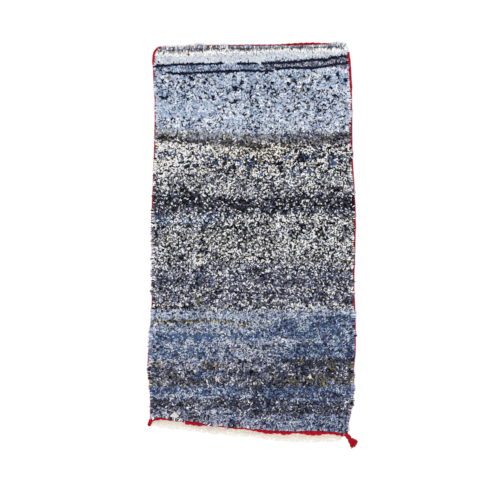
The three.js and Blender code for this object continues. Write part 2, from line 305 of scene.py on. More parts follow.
# What the weaver mixed in each stripe: parts of each kind of rag
MIXES = {
    "edge": "charcoal 8, slate 27, grey 38, wash 18, ecru 9",
    "edge_deep": "charcoal 16, slate 38, grey 32, wash 10, ecru 4",
    "chalk": "ecru 65, chalk 35",
    "pale": "pearl 62, wash 18, chalk 7, sky 8, grey 5",
    "ash_blue": "denim 18, slate 22, sky 35, wash 15, navy 6, indigo 4",
    "mauve": "charcoal 25, slate 30, grey 20, indigo 10, wash 10, black 5",
    "sky": "sky 48, wash 33, denim 9, slate 2, navy 3, chalk 5",
    "sky_dots": "sky 37, wash 29, denim 10, slate 3, navy 12, chalk 8, khaki 1",
    "pale_dots": "sky 28, wash 27, pearl 9, grey 6, denim 8, slate 4, navy 11, chalk 6, khaki 1",
    "pale_sky": "sky 31, wash 31, pearl 10, grey 4, denim 6, slate 3, navy 8, chalk 6, khaki 1",
    "clear_sky": "sky 52, wash 36, denim 6, navy 2, chalk 4",
    "wash": "wash 46, sky 27, chalk 14, denim 4, slate 2, navy 7",
    "sky_ash": "sky 27, grey 20, wash 26, khaki 5, slate 5, charcoal 5, black 3, chalk 9",
    "khaki_ash": "khaki 22, grey 34, charcoal 8, black 3, slate 10, ecru 8, sky 13, chalk 2",
    "soot": "black 34, charcoal 25, khaki 16, slate 8, grey 9, brown 7, chalk 1",
    "thin_soot": "black 20, charcoal 22, khaki 18, slate 10, grey 17, brown 8, chalk 2, ecru 3",
    "blue_pepper": "black 30, navy 10, cobalt 14, charcoal 12, slate 8, straw 6, chalk 13, grey 7",
    "blue_salt": "cobalt 14, denim 14, slate 14, black 18, navy 5, wash 17, chalk 18",
    "bright_salt": "chalk 44, wash 6, grey 17, black 11, charcoal 5, ecru 16, slate 1",
    "dusk": "slate 16, charcoal 18, black 25, denim 8, grey 8, chalk 14, navy 6, wash 5",
    "salt": "chalk 32, wash 7, grey 18, black 19, charcoal 8, ecru 12, slate 4",
    "pepper": "black 30, charcoal 11, chalk 28, ecru 9, grey 14, slate 3, wash 3, khaki 2",
    "dark_pepper": "black 38, charcoal 14, chalk 25, grey 11, slate 6, wash 6",
    "brown_salt": "ecru 31, chalk 18, brown 16, khaki 8, black 11, grey 9, straw 7",
    "light_ash": "chalk 22, wash 12, grey 22, slate 12, black 13, charcoal 12, ecru 7",
    "ash": "black 22, charcoal 15, slate 10, grey 19, wash 9, chalk 19, ecru 6",
    "dark": "black 28, charcoal 20, slate 18, indigo 8, grey 8, chalk 12, wash 6",
    "night": "black 40, charcoal 21, navy 9, indigo 5, slate 7, chalk 11, wash 4, grey 3",
    "deep_night": "black 48, charcoal 24, navy 7, indigo 4, slate 6, chalk 8, grey 3",
    "olive": "black 24, charcoal 12, khaki 11, grey 14, slate 9, chalk 17, ecru 6, wash 7",
    "slate_salt": "slate 14, charcoal 15, indigo 5, grey 11, black 22, lilac 8, chalk 20, wash 5",
    "slate": "slate 21, indigo 10, charcoal 18, denim 5, black 16, grey 8, lilac 9, chalk 13",
    "bright_haze": "sky 29, wash 30, lilac 12, grey 5, slate 6, denim 9, chalk 6, indigo 3",
    "haze": "sky 25, grey 6, wash 20, lilac 13, slate 9, denim 13, charcoal 2, indigo 7, chalk 5",
    "mist": (
        "sky 21, grey 6, wash 14, lilac 10, slate 10, denim 19, indigo 11, charcoal 2, "
        "navy 3, chalk 4"
    ),
    "khaki_line": "khaki 42, charcoal 12, straw 22, grey 8, sky 6, black 10",
    "dark_khaki": "khaki 44, charcoal 20, black 15, slate 10, grey 6, straw 5",
    "denim": "denim 31, slate 4, indigo 22, sky 13, lilac 5, wash 9, cobalt 9, navy 7",
    "blue": "cobalt 34, denim 30, sky 12, indigo 9, wash 7, chalk 5, navy 3",
    "blue_mist": (
        "cobalt 21, denim 27, sky 15, wash 12, slate 6, indigo 8, chalk 6, navy 3, "
        "lilac 2"
    ),
    "pale_grey": (
        "grey 18, wash 14, lilac 16, slate 16, charcoal 10, black 6, chalk 8, sky 8, "
        "denim 4"
    ),
    "teal": "denim 36, indigo 22, slate 6, sky 14, wash 9, cobalt 5, navy 6, chalk 2",
    "lilac": "grey 12, slate 20, lilac 29, charcoal 12, indigo 11, chalk 8, black 8",
    "deep": (
        "charcoal 22, indigo 17, slate 15, black 19, grey 4, lilac 11, khaki 3, denim 4, "
        "chalk 5"
    ),
    "deep_khaki": "charcoal 20, slate 14, khaki 20, black 17, indigo 12, grey 5, lilac 9, chalk 3",
    "blue_grey": (
        "denim 30, sky 17, slate 9, indigo 18, lilac 8, charcoal 4, wash 6, navy 4, "
        "cobalt 4"
    ),
    "soft_blue": (
        "slate 18, lilac 22, denim 13, indigo 14, charcoal 9, sky 10, wash 6, black 5, "
        "grey 3"
    ),
    "night_denim": (
        "denim 24, indigo 30, charcoal 8, slate 7, cobalt 9, lilac 7, navy 9, black 3, "
        "wash 3"
    ),
    "coal": "charcoal 32, black 23, indigo 16, slate 14, grey 4, lilac 8, chalk 3",
}

# The stripes from the top end down, in millimetres from the rug's middle: where each begins
# at the left side, in the middle and at the right side, and its mix at these three places
STRIPES = [
    (1030, 1030, 1030, "edge", "edge", "edge"),
    (994, 990, 994, "edge", "edge", "edge_deep"),
    (962, 973, 982, "chalk", "chalk", "chalk"),
    (947, 961, 970, "pale", "pale", "pale"),
    (898, 913, 948, "ash_blue", "ash_blue", "mauve"),
    (863, 873, 890, "sky", "sky", "sky"),
    (798, 798, 783, "sky_dots", "sky_dots", "pale_dots"),
    (723, 723, 718, "clear_sky", "sky_dots", "pale_dots"),
    (683, 683, 683, "clear_sky", "wash", "pale_sky"),
    (638, 638, 638, "wash", "pale_sky", "pale_sky"),
    (588, 569, 597, "sky_ash", "sky_ash", "sky_ash"),
    (564, 556, 574, "khaki_ash", "khaki_ash", "mauve"),
    (518, 492, 510, "bright_salt", "brown_salt", "pepper"),
    (453, 453, 468, "salt", "pepper", "pepper"),
    (428, 418, 418, "bright_salt", "pepper", "pepper"),
    (358, 363, 363, "ash", "ash", "light_ash"),
    (340, 340, 340, "ash", "ash", "ash"),
    (308, 308, 308, "ash", "light_ash", "ash"),
    (265, 252, 261, "dark", "ash", "dark"),
    (247, 242, 248, "night", "deep_night", "night"),
    (190, 182, 190, "dark", "dusk", "dark"),
    (150, 153, 150, "blue_salt", "pepper", "pepper"),
    (113, 113, 113, "dusk", "pepper", "ash"),
    (68, 68, 68, "olive", "olive", "ash"),
    (28, 28, 28, "olive", "olive", "salt"),
    (-7, -7, -7, "ash", "pepper", "ash"),
    (-47, -47, -47, "ash", "pepper", "olive"),
    (-87, -87, -87, "slate_salt", "slate_salt", "slate_salt"),
    (-127, -127, -127, "slate", "slate", "slate"),
    (-207, -207, -207, "slate_salt", "slate_salt", "slate_salt"),
    (-247, -247, -247, "slate", "slate", "slate"),
    (-287, -287, -282, "slate_salt", "slate_salt", "light_ash"),
    (-324, -324, -318, "bright_haze", "bright_haze", "haze"),
    (-370, -372, -347, "haze", "haze", "denim"),
    (-447, -433, -442, "blue", "blue_mist", "denim"),
    (-482, -468, -462, "mist", "pale_grey", "denim"),
    (-515, -515, -515, "teal", "pale_grey", "denim"),
    (-562, -562, -562, "haze", "lilac", "deep"),
    (-580, -575, -570, "lilac", "lilac", "deep"),
    (-625, -620, -602, "slate", "slate", "deep"),
    (-642, -642, -642, "deep_khaki", "slate", "deep_khaki"),
    (-702, -702, -702, "denim", "denim", "night_denim"),
    (-757, -757, -757, "deep", "coal", "deep"),
    (-807, -807, -807, "lilac", "deep", "coal"),
    (-847, -847, -842, "lilac", "lilac", "soft_blue"),
]
LEFT_TO_MIDDLE = (0.22, 0.44)  # where one side's mix gives way to the next, across the rug
MIDDLE_TO_RIGHT = (0.5, 0.7)
STRIPE_WANDER = 3 * MM
STRIPE_BLUR = 4 * MM
WANDER_SIZE = (120 * MM, 400 * MM)

# Narrow bands that cross the stripes: the mix, and the places that each passes, with its
# half width there
BANDS = [
    ("thin_soot", [
        (-510, 538, 13), (-449, 536, 13), (-369, 528, 16), (-289, 519, 13), (-129, 521, 12),
        (-49, 510, 12), (31, 500, 17), (111, 506, 11), (191, 506, 10), (271, 518, 13),
        (351, 525, 16), (431, 539, 14), (510, 550, 14),
    ]),
    ("soot", [(-510, 537, 13), (-449, 536, 13), (-415, 532, 12)]),
    ("soot", [(90, 506, 9), (111, 506, 11), (140, 506, 9)]),
    ("soot", [(-165, 521, 8), (-129, 521, 13), (-90, 519, 9)]),
    ("soot", [(-20, 502, 10), (31, 500, 17), (80, 503, 12)]),
    ("soot", [(320, 522, 10), (351, 525, 16), (431, 539, 14), (510, 550, 14)]),
    ("dark_pepper", [(-510, 90, 9), (330, 85, 10)]),
    ("salt", [(-80, 127, 8), (330, 127, 8)]),
    ("light_ash", [(-210, -193, 7), (20, -193, 7)]),
    ("dark", [(-510, -236, 8), (510, -233, 8)]),
    ("khaki_line", [(-510, -375, 9), (-449, -380, 9), (-369, -377, 9), (-100, -379, 8)]),
    ("khaki_line", [(-100, -388, 7), (-49, -393, 7), (-10, -391, 5), (130, -386, 4)]),
    ("haze", [(46, -475, 8), (480, -473, 9)]),
    ("bright_haze", [(-404, -475, 8), (-200, -475, 12), (46, -475, 8)]),
    ("haze", [(-490, -752, 11), (-189, -755, 10)]),
    ("haze", [(-74, -752, 8), (46, -752, 8)]),
    ("haze", [(-440, -574, 5), (-300, -572, 6), (-268, -572, 4)]),
    ("khaki_line", [(-504, -589, 9), (-440, -592, 8)]),
    ("khaki_line", [(-260, -588, 7), (-200, -592, 8), (-150, -607, 9), (-120, -609, 7)]),
]

# Patches with a mix of their own: x, y, half length and half height in millimetres
PATCHES = [
    ("blue_pepper", -154, 423, 70, 22), ("blue_pepper", -239, 448, 46, 9),
    ("blue_pepper", -150, 392, 72, 20), ("blue_pepper", -35, 408, 72, 25),
    ("blue_pepper", 256, 440, 78, 19), ("blue_pepper", 402, 440, 82, 22),
    ("blue_salt", 236, 370, 72, 13), ("blue_salt", 400, 400, 50, 10),
    ("blue_pepper", -350, 416, 44, 9), ("blue_salt", -420, 460, 40, 9),
    ("brown_salt", -120, 462, 62, 20), ("brown_salt", 110, 470, 60, 40),
    ("salt", -287, -70, 44, 34), ("light_ash", 371, 28, 42, 32),
    ("light_ash", 96, -277, 72, 10), ("light_ash", -279, -272, 62, 9),
    ("light_ash", -30, -277, 60, 8), ("light_ash", -404, -297, 62, 12),
    ("dark_pepper", -250, 398, 90, 16), ("dark_pepper", 110, 402, 62, 9),
    ("dark_pepper", 400, -30, 100, 26), ("dark", 20, -135, 110, 20), ("night", 410, -175, 72, 9),
    ("blue_grey", -235, -652, 85, 16), ("deep_night", 340, -592, 140, 9),
    ("haze", -110, -858, 110, 12), ("haze", 235, -885, 75, 12),
    ("haze", -57, -482, 34, 12), ("haze", -90, -552, 82, 19), ("coal", 336, -587, 165, 20),
    ("night_denim", 250, -500, 110, 12), ("deep", -190, -822, 130, 15),
    ("coal", -404, -640, 60, 6), ("blue_grey", -154, -727, 62, 10), ("coal", -14, -717, 62, 18),
    ("deep_khaki", 251, -668, 72, 14), ("blue_grey", 326, -772, 130, 10),
    ("mist", -154, -835, 72, 12), ("dark_khaki", 196, -685, 32, 17),
    ("dark_khaki", 361, -694, 26, 12),
]

# How far neighbouring ends are alike down the rug, because one rag makes many knots
ALIKE = [(-950, 0.12), (-330, 0.12), (-250, 0.05), (-60, 0.04), (520, 0.04), (1015, 0.05)]
KNOT_ALIKE = [(-950, 0.03), (520, 0.03), (585, 0.38), (895, 0.38), (930, 0.1), (1015, 0.1)]
ALIKE_SIZE = (26 * MM, 22 * MM)

# The two narrow navy rows below the top end: how far each run of them strays, and the places
# that it passes
NAVY_ROWS = [
    (3.0, [(-505, 897), (-421, 901), (-354, 905), (-284, 907), (-214, 908), (-149, 910)]),
    (2.2, [(-77, 908.5), (21, 909)]),
    (2.9, [(46, 910), (141, 914), (226, 918), (278, 925), (365, 929), (399, 938), (480, 950)]),
    (1.2, [(-436, 865), (-421, 864), (-369, 859)]),
    (2.2, [(-369, 859), (-319, 859), (-256, 864), (-179, 868.5), (-42, 874)]),
    (2.2, [(-42, 874), (55, 870.5), (101, 872)]),
    (2.9, [(110, 882), (175, 887.5), (226, 886), (296, 887), (365, 895), (411, 905), (490, 915)]),
]
NAVY_ROW_WIDTH = 12 * MM
NAVY_PITCH = 1.7 * MM
NAVY_RISE = 1.4 * MM  # how proud the navy ends stand

# Single knots and small patches of one kind of rag: x, y and radius in millimetres
SPOT_REACH = 1.35  # how far past its radius a spot still takes an end
SPOTS = {
    "navy": [
        (-450, 828, 5), (-454, 812, 5), (-400, 817, 5), (-481, 796, 6), (-372, 817, 4),
        (-338, 813, 6), (-313, 837, 8), (-299, 830, 5), (-241, 817, 6), (-229, 830, 5),
        (-172, 846, 5), (-95, 845, 6), (-56, 817, 6), (-91, 785, 8), (-88, 724, 7),
        (-200, 740, 7), (-13, 749, 6), (98, 812, 6), (61, 796, 6), (184, 844, 6),
        (177, 806, 8), (213, 815, 6), (258, 843, 6), (276, 844, 6), (300, 826, 5),
        (252, 806, 6), (357, 846, 6), (381, 838, 6), (421, 853, 6), (464, 828, 9),
        (181, 673, 6), (391, 788, 6),
    ],
    "black": [(-2, -634, 12), (-411, -661, 8), (466, -926, 5)],
    "red": [(401, 878, 4), (461, 888, 4), (416, 908, 5), (-74, -877, 5), (-109, -132, 5)],
    "khaki": [
        (-419, 838, 6), (-349, 810, 5), (-275, 821, 6), (-213, 842, 6), (-190, 821, 6),
        (75, 817, 6), (143, 833, 6), (236, 842, 5), (284, 806, 5), (338, 847, 5),
        (384, 825, 6), (243, 781, 6), (350, 767, 6), (314, 753, 5), (214, 767, 5),
        (450, 717, 5), (7, 31, 13), (246, -578, 14), (402, -603, 16), (488, -600, 12),
        (-264, -274, 17), (36, 428, 9),
    ],
    "ecru": [
        (-427, 824, 6), (-334, 824, 5), (-259, 826, 6), (-106, 842, 6), (21, 842, 6),
        (180, 823, 8), (229, 817, 6), (282, 831, 6), (321, 847, 7), (-122, 410, 8),
        (-203, 386, 6), (169, 430, 6), (101, 366, 7), (338, 427, 6), (243, 410, 6),
        (7, 363, 12), (-34, -70, 11), (71, -121, 8), (-166, -138, 7), (-271, -246, 8),
        (419, -300, 8), (-179, -665, 9), (196, -644, 6), (285, -654, 7), (-277, -72, 20),
    ],
    "cobalt": [
        (-203, 454, 7), (-129, 437, 6), (-61, 407, 7), (-284, 407, 5), (-20, 386, 6),
        (40, 353, 6), (169, 441, 6), (236, 400, 7), (196, 366, 7), (284, 373, 6),
        (446, 441, 7), (412, 413, 6), (480, 434, 5), (-484, 468, 6), (-358, 434, 5),
        (-250, 454, 5), (-411, -463, 15), (-275, -464, 18), (-350, -465, 15),
        (-214, -464, 15), (-98, -452, 13), (-9, -463, 15), (30, -446, 14), (407, -422, 15),
    ],
}

# How far the rag ends lie over the side edges and the twined rows, as a share of their width
LEFT_COVER = [
    (-880, 0.1), (-862, 0.4), (-850, 0.95), (-790, 0.9), (-775, 0.6), (-760, 1.2), (-700, 1.2),
    (-690, 0.9), (-660, 0.9), (-640, 1.2), (-610, 1.2), (-595, 0.7), (-565, 0.3), (-545, 0.8),
    (-470, 0.9), (-450, 1.2), (-415, 1.2), (-400, 0.6), (-380, 0.6), (-365, 1.15), (80, 1.15),
    (90, 0.8), (100, 1.2), (180, 1.2), (190, 0.6), (280, 0.5), (300, 0.7), (335, 0.75),
    (345, 1.0), (400, 1.0), (430, 0.8), (480, 0.55), (513, 0.35), (522, 1.15), (545, 1.15),
    (552, 0.2), (575, 0.2), (582, 1.1), (690, 1.2), (705, 0.5), (755, 0.5), (770, 1.15),
    (815, 1.15), (830, 0.3), (870, 0.2), (885, 1.1), (912, 1.0), (918, 0.0), (1010, 0.0),
]
RIGHT_COVER = [
    (-945, 0.5), (-900, 0.6), (-765, 0.75), (-740, 0.9), (-660, 0.8), (-620, 0.6), (-570, 0.5),
    (-535, 0.3), (-475, 0.2), (-465, 0.6), (-448, 0.6), (-438, 0.1), (-415, 0.2), (-400, 0.5),
    (-385, 0.8), (-365, 1.2), (-325, 1.1), (-316, 0.0), (-265, 0.0), (-250, 0.8), (-180, 0.9),
    (-170, 0.0), (-140, 0.2), (-110, 0.5), (-85, 0.5), (-75, 0.2), (-55, 0.3), (-45, 0.9),
    (-25, 0.8), (-15, 0.4), (0, 0.3), (38, 0.0), (66, 0.0), (74, 0.9), (95, 0.8), (103, 0.0),
    (125, 0.0), (132, 0.7), (155, 0.6), (165, 0.5), (215, 0.4), (225, 0.7), (245, 0.7),
    (252, 1.0), (300, 0.9), (310, 0.35), (335, 0.4), (345, 0.6), (368, 0.7), (375, 1.0),
    (393, 0.9), (402, 0.0), (425, 0.0), (433, 0.9), (455, 0.9), (470, 0.4), (570, 0.5),
    (582, 0.0), (604, 0.0), (612, 0.9), (640, 0.9), (670, 1.2), (680, 0.4), (700, 0.3),
    (720, 0.6), (740, 0.3), (790, 0.0), (966, 0.0), (972, 1.2), (1010, 1.2),
]
TOP_COVER = [
    (-470, 0.3), (-440, 1.0), (-425, 0.6), (-355, 0.6), (-350, 1.0), (-250, 1.0), (-240, 0.3),
    (-200, 0.2), (-190, 0.6), (-130, 0.6), (-120, 0.2), (0, 0.1), (130, 0.2), (170, 0.2),
    (180, 0.0), (375, 0.0), (390, 1.1), (480, 1.1),
]
BOTTOM_COVER = [
    (-500, 0.0), (-450, 0.25), (-380, 0.5), (-350, 0.5), (-335, 0.0), (-260, 0.0), (-235, 0.3),
    (-215, 0.75), (-190, 0.95), (-100, 0.95), (-78, 0.7), (-60, 0.15), (-10, 0.2), (30, 0.0),
    (190, 0.0), (220, 0.15), (250, 0.0), (470, 0.0),
]
SIDE_YARN = 10 * MM  # the side edge's full width, which its cover is a share of
LOW_ROW_WIDTH = 14 * MM
RIM_HEIGHT = 16.5 * MM  # the pile's height past the rim of its solid
RIM_PITCH = 4.8 * MM
RIM_ROOT = 11 * MM  # how far inside the foot of the pile a rim rag is knotted
RIM_SCATTER = 24  # degrees
COVER_SCATTER = 0.75
COVER_LUMP = (16 * MM, 1.0)

rng = np.random.default_rng(11)


def linear(shade):
    """A #rrggbb shade as Blender's linear red, green, blue and alpha."""
    parts = [int(shade[k : k + 2], 16) / 255 for k in (1, 3, 5)]
    return (*[((p + 0.055) / 1.055) ** 2.4 if p > 0.04 else p / 12.92 for p in parts], 1.0)


def clumps(x, y, size, seed):
    """A smooth random field of clumps of the given size, spread evenly about nought."""
    grid = np.random.default_rng(seed).normal(size=(400, 400))
    across = x / size[0] + 150
    along = y / size[1] + 150
    i, j = np.floor(across).astype(int), np.floor(along).astype(int)
    s, t = across - i, along - j
    corners = ((i, j, (1 - s) * (1 - t)), (i + 1, j, s * (1 - t)))
    corners += ((i, j + 1, (1 - s) * t), (i + 1, j + 1, s * t))
    total = sum(grid[a, b] * weight for a, b, weight in corners)
    return total / np.sqrt(sum(weight**2 for _, _, weight in corners))


def ease(value, low, high):
    share = np.clip((value - low) / (high - low), 0, 1)
    return share * share * (3 - 2 * share)


def unit(vectors):
    return vectors / np.linalg.norm(vectors, axis=-1, keepdims=True)


def evenly(path, pitch):
    """The same path with points one pitch apart."""
    path = np.asarray(path, float)
    run = np.concatenate([[0], np.cumsum(np.linalg.norm(np.diff(path, axis=0), axis=1))])
    places = np.linspace(0, run[-1], max(int(run[-1] / pitch), 2) + 1)
    return np.stack([np.interp(places, run, path[:, k]) for k in range(path.shape[1])], axis=1)


solid_points = mesh_points(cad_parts["rug_field"].data)
solid_faces = [tuple(face.vertices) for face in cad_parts["rug_field"].data.polygons]
solid_top = BVHTree.FromPolygons([tuple(point) for point in solid_points], solid_faces)


def pile_height(x, y):
    """How high the pile's own solid stands at each place."""
    heights = np.full(len(x), RIM_HEIGHT)
    for k, (place_x, place_y) in enumerate(zip(x, y)):
        hit = solid_top.ray_cast((place_x, place_y, 0.1), (0, 0, -1))[0]
        if hit is not None:
            heights[k] = hit.z
    return heights


def field_rags():
    """The ends of all the knots, in rows across the rug."""
    down, across = np.meshgrid(
        (np.arange(KNOT_ROWS) + 0.5) / KNOT_ROWS, (np.arange(KNOT_COLUMNS) + 0.5) / KNOT_COLUMNS
    )
    packed = down < PACKED_SHARE
    across = np.append(across, across[packed] + 0.5 / KNOT_COLUMNS)
    down = np.append(down, down[packed] + 0.5 / KNOT_ROWS)
    across = across + rng.uniform(-KNOT_STRAY[0], KNOT_STRAY[0], across.size) / KNOT_COLUMNS
    down = down + rng.uniform(-KNOT_STRAY[1], KNOT_STRAY[1], down.size) / KNOT_ROWS
    knot_x, knot_y = on_rug(across, down, KNOT_INSET)
    knot_top = pile_height(knot_x, knot_y)
    count = len(knot_x) * ENDS_A_KNOT
    order = np.tile(np.arange(ENDS_A_KNOT) - (ENDS_A_KNOT - 1) / 2, len(knot_x))
    turn = np.repeat(rng.normal(0, KNOT_SCATTER, len(knot_x)), ENDS_A_KNOT)
    turn = turn + order * END_FAN + rng.normal(0, END_SCATTER, count)
    turn = np.where(rng.random(count) < TURNED_SHARE, turn + 180, turn)
    stray_x, stray_y = (rng.uniform(-stray, stray, count) * MM for stray in ROOT_STRAY)
    x = np.repeat(knot_x, ENDS_A_KNOT) + stray_x
    y = np.repeat(knot_y, ENDS_A_KNOT) + stray_y
    combed = np.interp(y / MM, *zip(*COMBED))
    loose = turn * (1 - combed)
    turn = np.where(combed > 0.7, rng.normal(0, COMBED_SCATTER, count), loose) - 90
    from_crease = x - np.interp(y / MM, *zip(*CREASE)) * MM
    crease = CREASE_DEPTH * np.exp(-((from_crease / CREASE_WIDTH) ** 2)) * (1 - combed)
    sunk = rng.uniform(0, SUNK, count) * MM * (1 - 0.7 * combed)
    return {
        "x": x,
        "y": y,
        "turn": np.radians(turn),
        "reach": rng.uniform(*RAG_REACH, count) * (1 + 0.3 * combed),
        "top": np.repeat(knot_top, ENDS_A_KNOT) - crease - sunk,
        "drop": rng.uniform(0.5, 5, count) * MM * (1 - 0.6 * combed),
        "knot": np.repeat(rng.normal(size=len(knot_x)), ENDS_A_KNOT),
        "combed": combed,
        "cut": np.interp(y / MM, *zip(*CUT_WIDTH)),
    }


def cover_at(table, place, seed):
    """The share of a side yarn that is covered at each place, uneven from rag to rag."""
    places, shares = zip(*table)
    mean = np.interp(place / MM, places, shares)
    lumps = clumps(place, place * 0, COVER_LUMP, seed) * COVER_SCATTER * 0.5
    return np.clip(mean + lumps * (0.25 + mean), 0, 1.25)


def rim_rags(inner_x, inner_y, outwards, reach):
    """Rag ends along one edge, that lie outwards over the yarn beside it."""
    count = len(inner_x)
    angle = np.radians(outwards + rng.normal(0, RIM_SCATTER, count))
    x = inner_x - RIM_ROOT * np.cos(angle)
    y = inner_y - RIM_ROOT * np.sin(angle)
    return {
        "x": x,
        "y": y,
        "turn": angle,
        "reach": RIM_ROOT + reach,
        "top": pile_height(x, y) + rng.uniform(-1.2, 0.8, count) * MM,
        "drop": np.clip(reach * 0.35, 0, 3.2 * MM) + rng.uniform(0, 1, count) * MM,
        "knot": rng.normal(size=count),
        "combed": np.zeros(count),
        "cut": np.ones(count),
    }


def round_the_edge():
    """Places along the whole foot of the pile, with the way outwards and the cover at each."""
    spans = (
        (LEFT_SIDE, "y", LEFT_COVER, SIDE_YARN, -1),
        (RIGHT_SIDE, "y", RIGHT_COVER, SIDE_YARN, 1),
        (TOP_END, "x", TOP_COVER, SIDE_YARN, -1),
        (BOTTOM_END, "x", BOTTOM_COVER, LOW_ROW_WIDTH, 1),
    )
    for seed, (line, axis, table, width, sign) in enumerate(spans):
        places = evenly(line, RIM_PITCH)
        along = unit(np.gradient(places, axis=0))
        outwards = np.degrees(np.arctan2(-along[:, 0] * sign, along[:, 1] * sign))
        share = cover_at(table, places[:, 1 if axis == "y" else 0], 131 + seed)
        yield places, outwards, width * share


def all_rim_rags():
    runs = []
    for places, outwards, width in round_the_edge():
        places = places + rng.uniform(-0.35, 0.35, places.shape) * RIM_PITCH
        reach = width * rng.uniform(0.7, 1.25, len(places))
        runs.append(rim_rags(places[:, 0], places[:, 1], outwards, reach))
    return runs


def keep_inside(rags):
    """Turns back the field's ends that would pass the edge, and shortens what still does."""
    for _ in range(2):
        tip_x = rags["x"] + rags["reach"] * np.cos(rags["turn"])
        tip_y = rags["y"] + rags["reach"] * np.sin(rags["turn"])
        beside = (tip_x < left_at(tip_y) - 0.5 * MM) | (tip_x > right_at(tip_y) + 0.5 * MM)
        beyond = (tip_y > top_at(tip_x) + 0.5 * MM) | (tip_y < bottom_at(tip_x) - 0.5 * MM)
        rags["turn"] = np.where(beside, math.pi - rags["turn"], rags["turn"])
        rags["turn"] = np.where(beyond, -rags["turn"], rags["turn"])
    tip_x = rags["x"] + rags["reach"] * np.cos(rags["turn"])
    tip_y = rags["y"] + rags["reach"] * np.sin(rags["turn"])
    outside = (tip_x < left_at(tip_y)) | (tip_x > right_at(tip_y))
    outside |= (tip_y > top_at(tip_x)) | (tip_y < bottom_at(tip_x))
    rags["reach"] = np.where(outside, rags["reach"] * 0.35, rags["reach"])
    return rags


def join_rags(runs):
    return {key: np.concatenate([run[key] for run in runs]) for key in runs[0]}


def seen_at(rags):
    """Where each end is mostly seen from above."""
    far = rags["reach"] * SEEN_SHARE
    return rags["x"] + far * np.cos(rags["turn"]), rags["y"] + far * np.sin(rags["turn"])


def mix_shares(recipe):
    """The share of each kind of rag in a mix, from its parts."""
    parts = dict(part.split() for part in recipe.split(", "))
    weights = np.array([int(parts.get(kind, 0)) for kind in RAG_KINDS])
    return weights / weights.sum()


def choose_kinds(rags):
    """The kind of rag of each end, from the stripes, drawn so that neighbours are often alike."""
    x, y = seen_at(rags)
    across = (x - left_at(y)) / (right_at(y) - left_at(y))
    wander = clumps(x, y, WANDER_SIZE, 3) * STRIPE_WANDER
    blur = rng.normal(0, STRIPE_BLUR, len(x))
    level = y + wander + blur
    starts = np.array([stripe[:3] for stripe in STRIPES]) * MM
    to_middle = ease(across, 0.0, 0.5)
    to_right = ease(across, 0.5, 1.0)
    begins = (
        starts[:, 0, None] * (1 - to_middle)
        + starts[:, 1, None] * (to_middle - to_right)
        + starts[:, 2, None] * to_right
    )
    stripe = (level[None, :] < begins).sum(axis=0) - 1
    mixed = {mix: mix_shares(recipe) for mix, recipe in MIXES.items()}
    left, middle, right = (np.array([mixed[row[k]] for row in STRIPES]) for k in (3, 4, 5))
    left_gone = ease(across, *LEFT_TO_MIDDLE)[:, None]
    right_come = ease(across, *MIDDLE_TO_RIGHT)[:, None]
    share = left[stripe] * (1 - left_gone)
    share = share + middle[stripe] * (left_gone - right_come)
    share = share + right[stripe] * right_come
    for mix, places in BANDS:
        band_x, band_y, half = np.array(places).T * MM
        off = np.abs(y + blur - np.interp(x, band_x, band_y))
        inside = (x > band_x[0]) & (x < band_x[-1]) & (off < np.interp(x, band_x, half))
        share[inside] = mixed[mix]
    for mix, *place in PATCHES:
        middle_x, middle_y, length, height = np.array(place) * MM
        off = np.hypot((x - middle_x) / length, (y - middle_y) / height)
        inside = off < 1 + 0.25 * clumps(x, y, (25 * MM, 12 * MM), 7)
        share[inside] = mixed[mix]
    patch = clumps(x, y, ALIKE_SIZE, 5)
    alike = np.interp(y / MM, *zip(*ALIKE))
    same_knot = np.interp(y / MM, *zip(*KNOT_ALIKE))
    draw = np.sqrt(alike) * patch + np.sqrt(same_knot) * rags["knot"]
    draw = draw + np.sqrt(1 - alike - same_knot) * rng.normal(size=len(x))
    rank = np.array([0.5 + 0.5 * math.erf(value / math.sqrt(2)) for value in draw])
    kind = (rank[:, None] > np.cumsum(share, axis=1)[:, :-1]).sum(axis=1)
    for name, places in SPOTS.items():
        for spot_x, spot_y, radius in places:
            off = np.hypot(x - spot_x * MM, y - spot_y * MM)
            near = off < radius * MM * SPOT_REACH
            chance = 0.95 if radius < 10 else 0.6
            kind = np.where(near & (rng.random(len(x)) < chance), KIND_NAMES.index(name), kind)
    return kind, x, y


def navy_row_rags():
    """The ends of the navy rows, close together and a little proud of their neighbours."""
    runs = []
    for spread, points in NAVY_ROWS:
        line_x, line_y = np.array(points).T * MM
        x = np.arange(line_x[0], line_x[-1], NAVY_PITCH)
        stray = rng.normal(0, spread * MM, len(x)) * np.where(rng.random(len(x)) < 0.12, 2.2, 1)
        y = np.interp(x, line_x, line_y) + stray
        count = len(x)
        turn = np.radians(rng.choice([-90, 90], count) + rng.normal(0, 38, count))
        reach = rng.uniform(8, 13, count) * MM
        top = pile_height(x, y) + NAVY_RISE - rng.uniform(0, 0.8, count) * MM
        inside = (x > left_at(y) + 4 * MM) & (x < right_at(y) - 4 * MM)
        run = {
            "x": x - SEEN_SHARE * reach * np.cos(turn),
            "y": y - SEEN_SHARE * reach * np.sin(turn),
            "turn": turn,
            "reach": reach,
            "top": top,
            "drop": rng.uniform(0.3, 1.5, count) * MM,
            "knot": np.zeros(count),
            "combed": np.full(count, 0.3),
            "cut": np.ones(count),
        }
        runs.append({key: value[inside] for key, value in run.items()})
    return join_rags(runs)


def beside_navy(x, y):
    """True where an end would hide a navy row."""
    near = np.zeros(len(x), bool)
    for spread, points in NAVY_ROWS:
        line_x, line_y = np.array(points).T * MM
        within = (x > line_x[0] - 2 * MM) & (x < line_x[-1] + 2 * MM)
        off = np.abs(y - np.interp(x, line_x, line_y))
        near |= within & (off < NAVY_ROW_WIDTH / 2 + (spread - 2) * MM)
    return near


